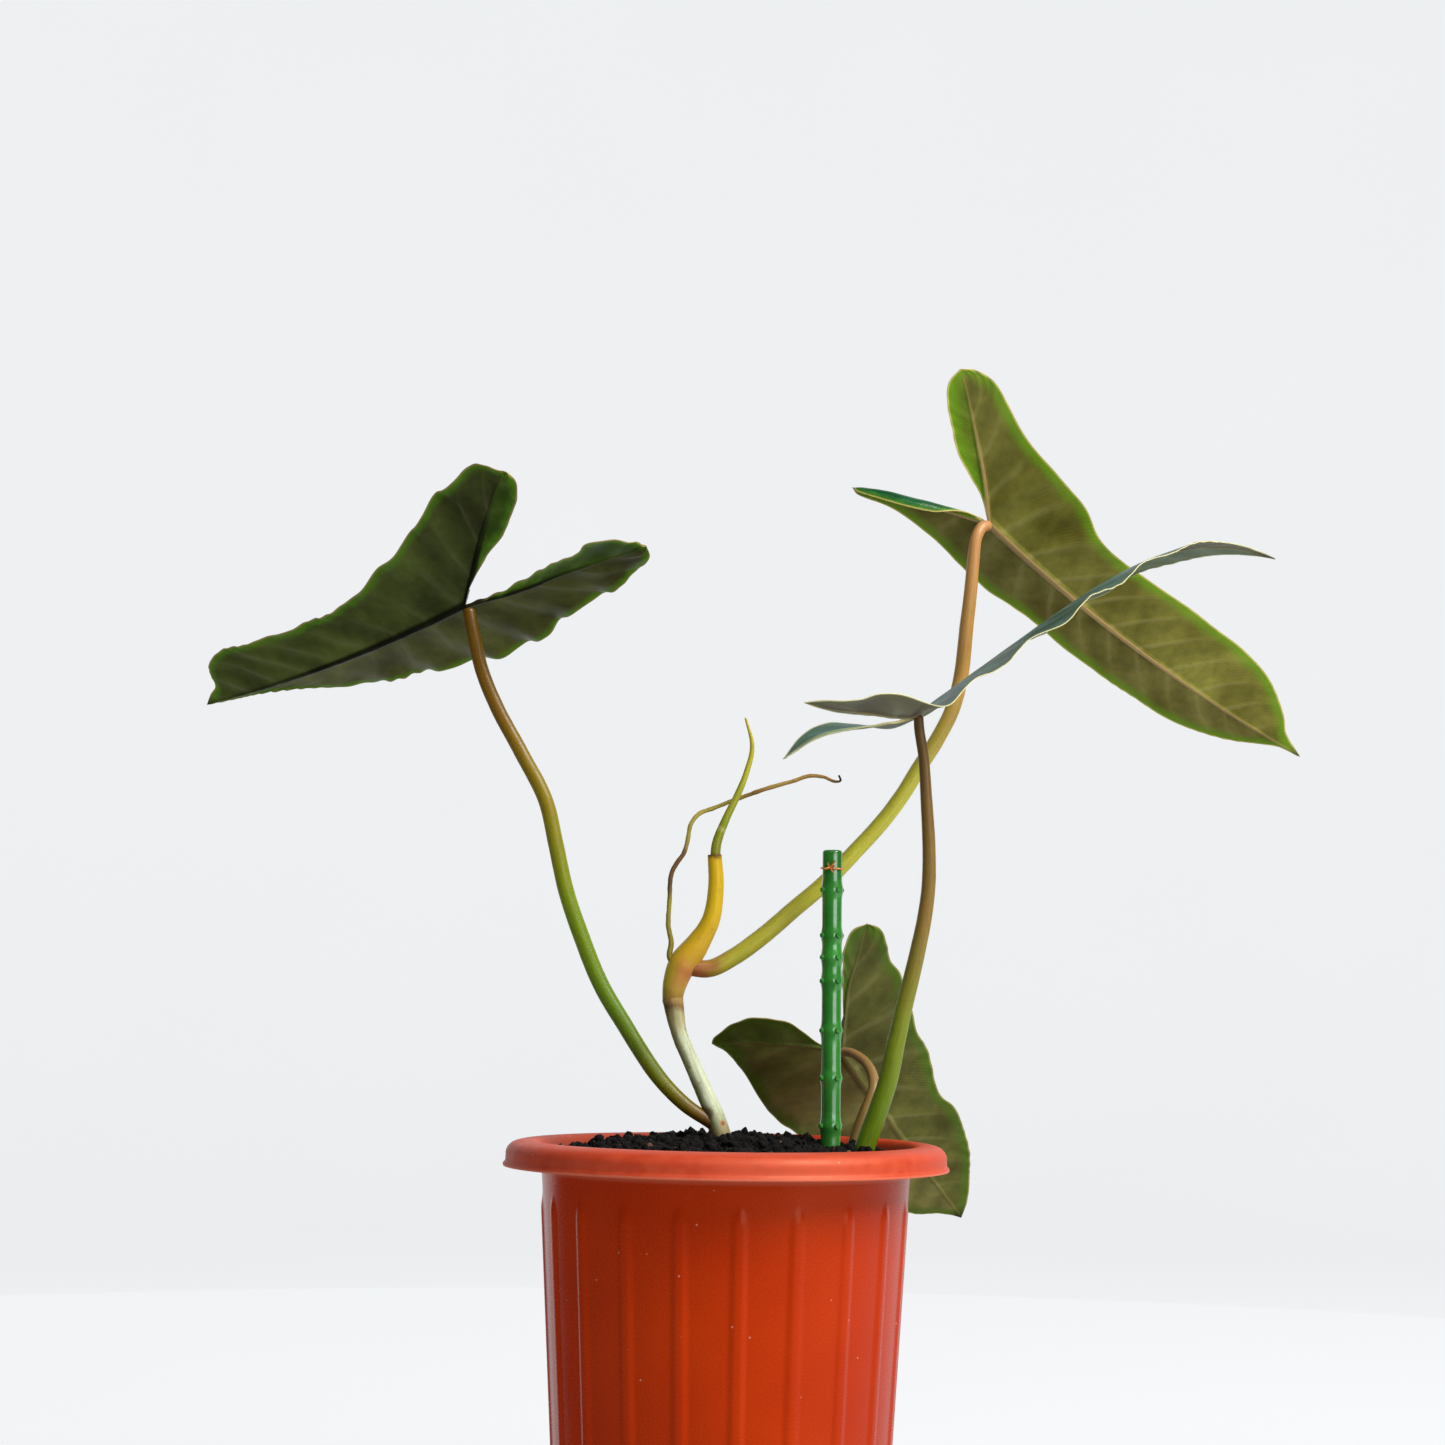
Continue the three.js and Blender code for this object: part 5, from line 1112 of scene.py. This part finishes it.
TIE_HEIGHT, TIE_WIRE_RADIUS, TIE_SLANT = 386, 0.5, math.radians(5)
TIE_RADIUS = STAKE_RADIUS + 0.3 + TIE_WIRE_RADIUS
TIE_ENDS = [(-3.2, -1.4, -1), (2.6, -1.6, 1.2), (-1.2, -1.8, 2.8), (1.4, -1.8, -2.6), (3.2, -0.6, 4.2)]
centre = on_stake(TIE_HEIGHT)
knot = centre + np.array([-1.5, -TIE_RADIUS - 0.1, 0])
around = np.linspace(0, 2 * math.pi, 61)
ring = np.stack([
    TIE_RADIUS * np.cos(around),
    TIE_RADIUS * np.sin(around) * math.cos(TIE_SLANT),
    TIE_RADIUS * np.sin(around) * math.sin(TIE_SLANT),
], 1) + centre
wires = [sweep("tie_ring", {"route": ring, "radii": [TIE_WIRE_RADIUS] * 2}, copper_wire,
               lump=0.05, lump_size=2, step=0.5, sides=10, rounded=())]
for i, end in enumerate(TIE_ENDS):
    bow = np.array([0.3 * math.sin(2.1 * i), 0, 0.3 * math.cos(1.7 * i)])
    route = [knot, knot + np.array(end) / 2 + bow, knot + np.array(end)]
    wires.append(sweep(f"tie_end_{i}", {"route": route, "radii": [0.6, 0.35]}, copper_wire,
                       lump=0.05, lump_size=2, step=0.4, sides=10))
with bpy.context.temp_override(active_object=wires[0], selected_editable_objects=wires):
    bpy.ops.object.join()
wires[0].name = "tie_wire"
stand_for(wires[0], "twist_tie")

# STUDIO
# A plain pale floor with a pale cove round it, panels that only glossy faces mirror, soft daylight from
# the right and front, and the camera where the photograph was taken.
pale_paint, tree, place = new_material("pale_matt_paint")
cloud = put(tree, "ShaderNodeTexNoise", {"Vector": place, "Scale": 3.0, "Detail": 3})
colour = put(tree, "ShaderNodeValToRGB", {"Fac": cloud}, stops=[(0.3, "#5e6062"), (0.7, "#626466")])
rough = put(tree, "ShaderNodeMapRange", {"Value": cloud, "To Min": 0.85, "To Max": 0.95})
shader = put(tree, "ShaderNodeBsdfPrincipled", {
    "Base Color": colour, "Roughness": rough, "Emission Color": "#f4f6f8", "Emission Strength": 0.84})
put(tree, "ShaderNodeOutputMaterial", {"Surface": shader})
FLOOR_RADIUS, COVE_RADIUS, COVE_HEIGHT, PANEL_RADIUS = 2.4, 0.8, 3.6, 1.6  # metres
FLOOR_HEIGHT, FLOOR_SIDES = -0.0005, 96  # the floor lies just under the pot's foot, in metres


def arc(radius, angles, height):
    """Points round the upright axis at a height, from the front towards the right."""
    return [(radius * math.sin(a), -radius * math.cos(a), height) for a in angles]


around = np.arange(FLOOR_SIDES) * math.pi / (FLOOR_SIDES / 2)
floor_disc = new_piece("studio_floor", arc(FLOOR_RADIUS, around, FLOOR_HEIGHT), [range(FLOOR_SIDES)])
bends = np.linspace(0, math.pi / 2, 17)
cove = [(FLOOR_RADIUS + COVE_RADIUS * math.sin(b), COVE_RADIUS * (1 - math.cos(b))) for b in bends]
cove += [(FLOOR_RADIUS + COVE_RADIUS, COVE_HEIGHT)]
points = [p for radius, z in cove for p in arc(radius, around, z + FLOOR_HEIGHT)]
faces = [
    (i + (j + 1) % FLOOR_SIDES, i + j, i + FLOOR_SIDES + j, i + FLOOR_SIDES + (j + 1) % FLOOR_SIDES)
    for i in range(0, (len(cove) - 1) * FLOOR_SIDES, FLOOR_SIDES) for j in range(FLOOR_SIDES)
]
cove_wall = new_piece("studio_cove", points, faces)
panels = []
for name, right, left, low, high in (
    ("studio_back_panel", 122, 228, -0.8, COVE_HEIGHT),
    ("studio_right_panel", 40, 122, -0.8, 0.15),
):
    angles = np.radians(np.linspace(right, left, 25))
    points = arc(PANEL_RADIUS, angles, low) + arc(PANEL_RADIUS, angles, high)
    panel = new_piece(name, points, [(j + 1, j, j + 25, j + 26) for j in range(24)])
    panel.visible_shadow = panel.visible_camera = panel.visible_diffuse = False
    panels.append(panel)
cove_wall.visible_shadow = cove_wall.visible_diffuse = cove_wall.visible_glossy = False
floor_disc.visible_glossy = False
for stage in (floor_disc, cove_wall, *panels):
    stage.data.materials.append(pale_paint)
    stage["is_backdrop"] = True

PLANT_MIDDLE = (0, 0, 0.38)  # metres: where the lamps point
world = bpy.data.worlds.new("soft_daylight")
world.use_nodes = True
sky = world.node_tree.nodes["Background"].inputs
sky["Color"].default_value, sky["Strength"].default_value = linear("#f6f8fa"), 0.24
bpy.context.scene.world = world
world.cycles_visibility.glossy = False
for name, place, width, height, power, tint in (
    ("window_right", (1.5, -1.0, 2.1), 1.3, 1.3, 92, "#fffaf2"),
    ("window_above", (-0.2, -1.6, 2.6), 1.6, 1.6, 10, "#f6f9ff"),
    ("window_low", (1.2, -1.6, 0.48), 1.5, 0.6, 11, "#f8faff"),
):
    light = bpy.data.lights.new(name, "AREA")
    light.shape, light.size, light.size_y = "RECTANGLE", width, height
    light.energy, light.color = power, linear(tint)[:3]
    lamp = new_object(name, light)
    lamp.location = place
    lamp.rotation_euler = (Vector(PLANT_MIDDLE) - Vector(place)).to_track_quat("-Z", "Y").to_euler()

camera = bpy.data.cameras.new("photo_camera")
camera.sensor_fit, camera.sensor_width, camera.sensor_height, camera.lens = "HORIZONTAL", 24, 24, 50
camera.clip_start, camera.clip_end = 0.05, 50
eye = new_object("photo_camera", camera)
CAMERA_PLACE = (0, -1.672, 0.31677)  # metres
CAMERA_YAW, CAMERA_PITCH, CAMERA_ROLL = 0.198, 5.127, 0.9  # degrees
eye.matrix_world = (
    Matrix.Translation(CAMERA_PLACE)
    @ Matrix.Rotation(math.radians(CAMERA_YAW), 4, "Z")
    @ Matrix.Rotation(math.radians(90 + CAMERA_PITCH), 4, "X")
    @ Matrix.Rotation(math.radians(CAMERA_ROLL), 4, "Z")
)
bpy.context.scene.camera = eye
bpy.context.scene.view_settings.view_transform = "Standard"

low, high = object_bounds()
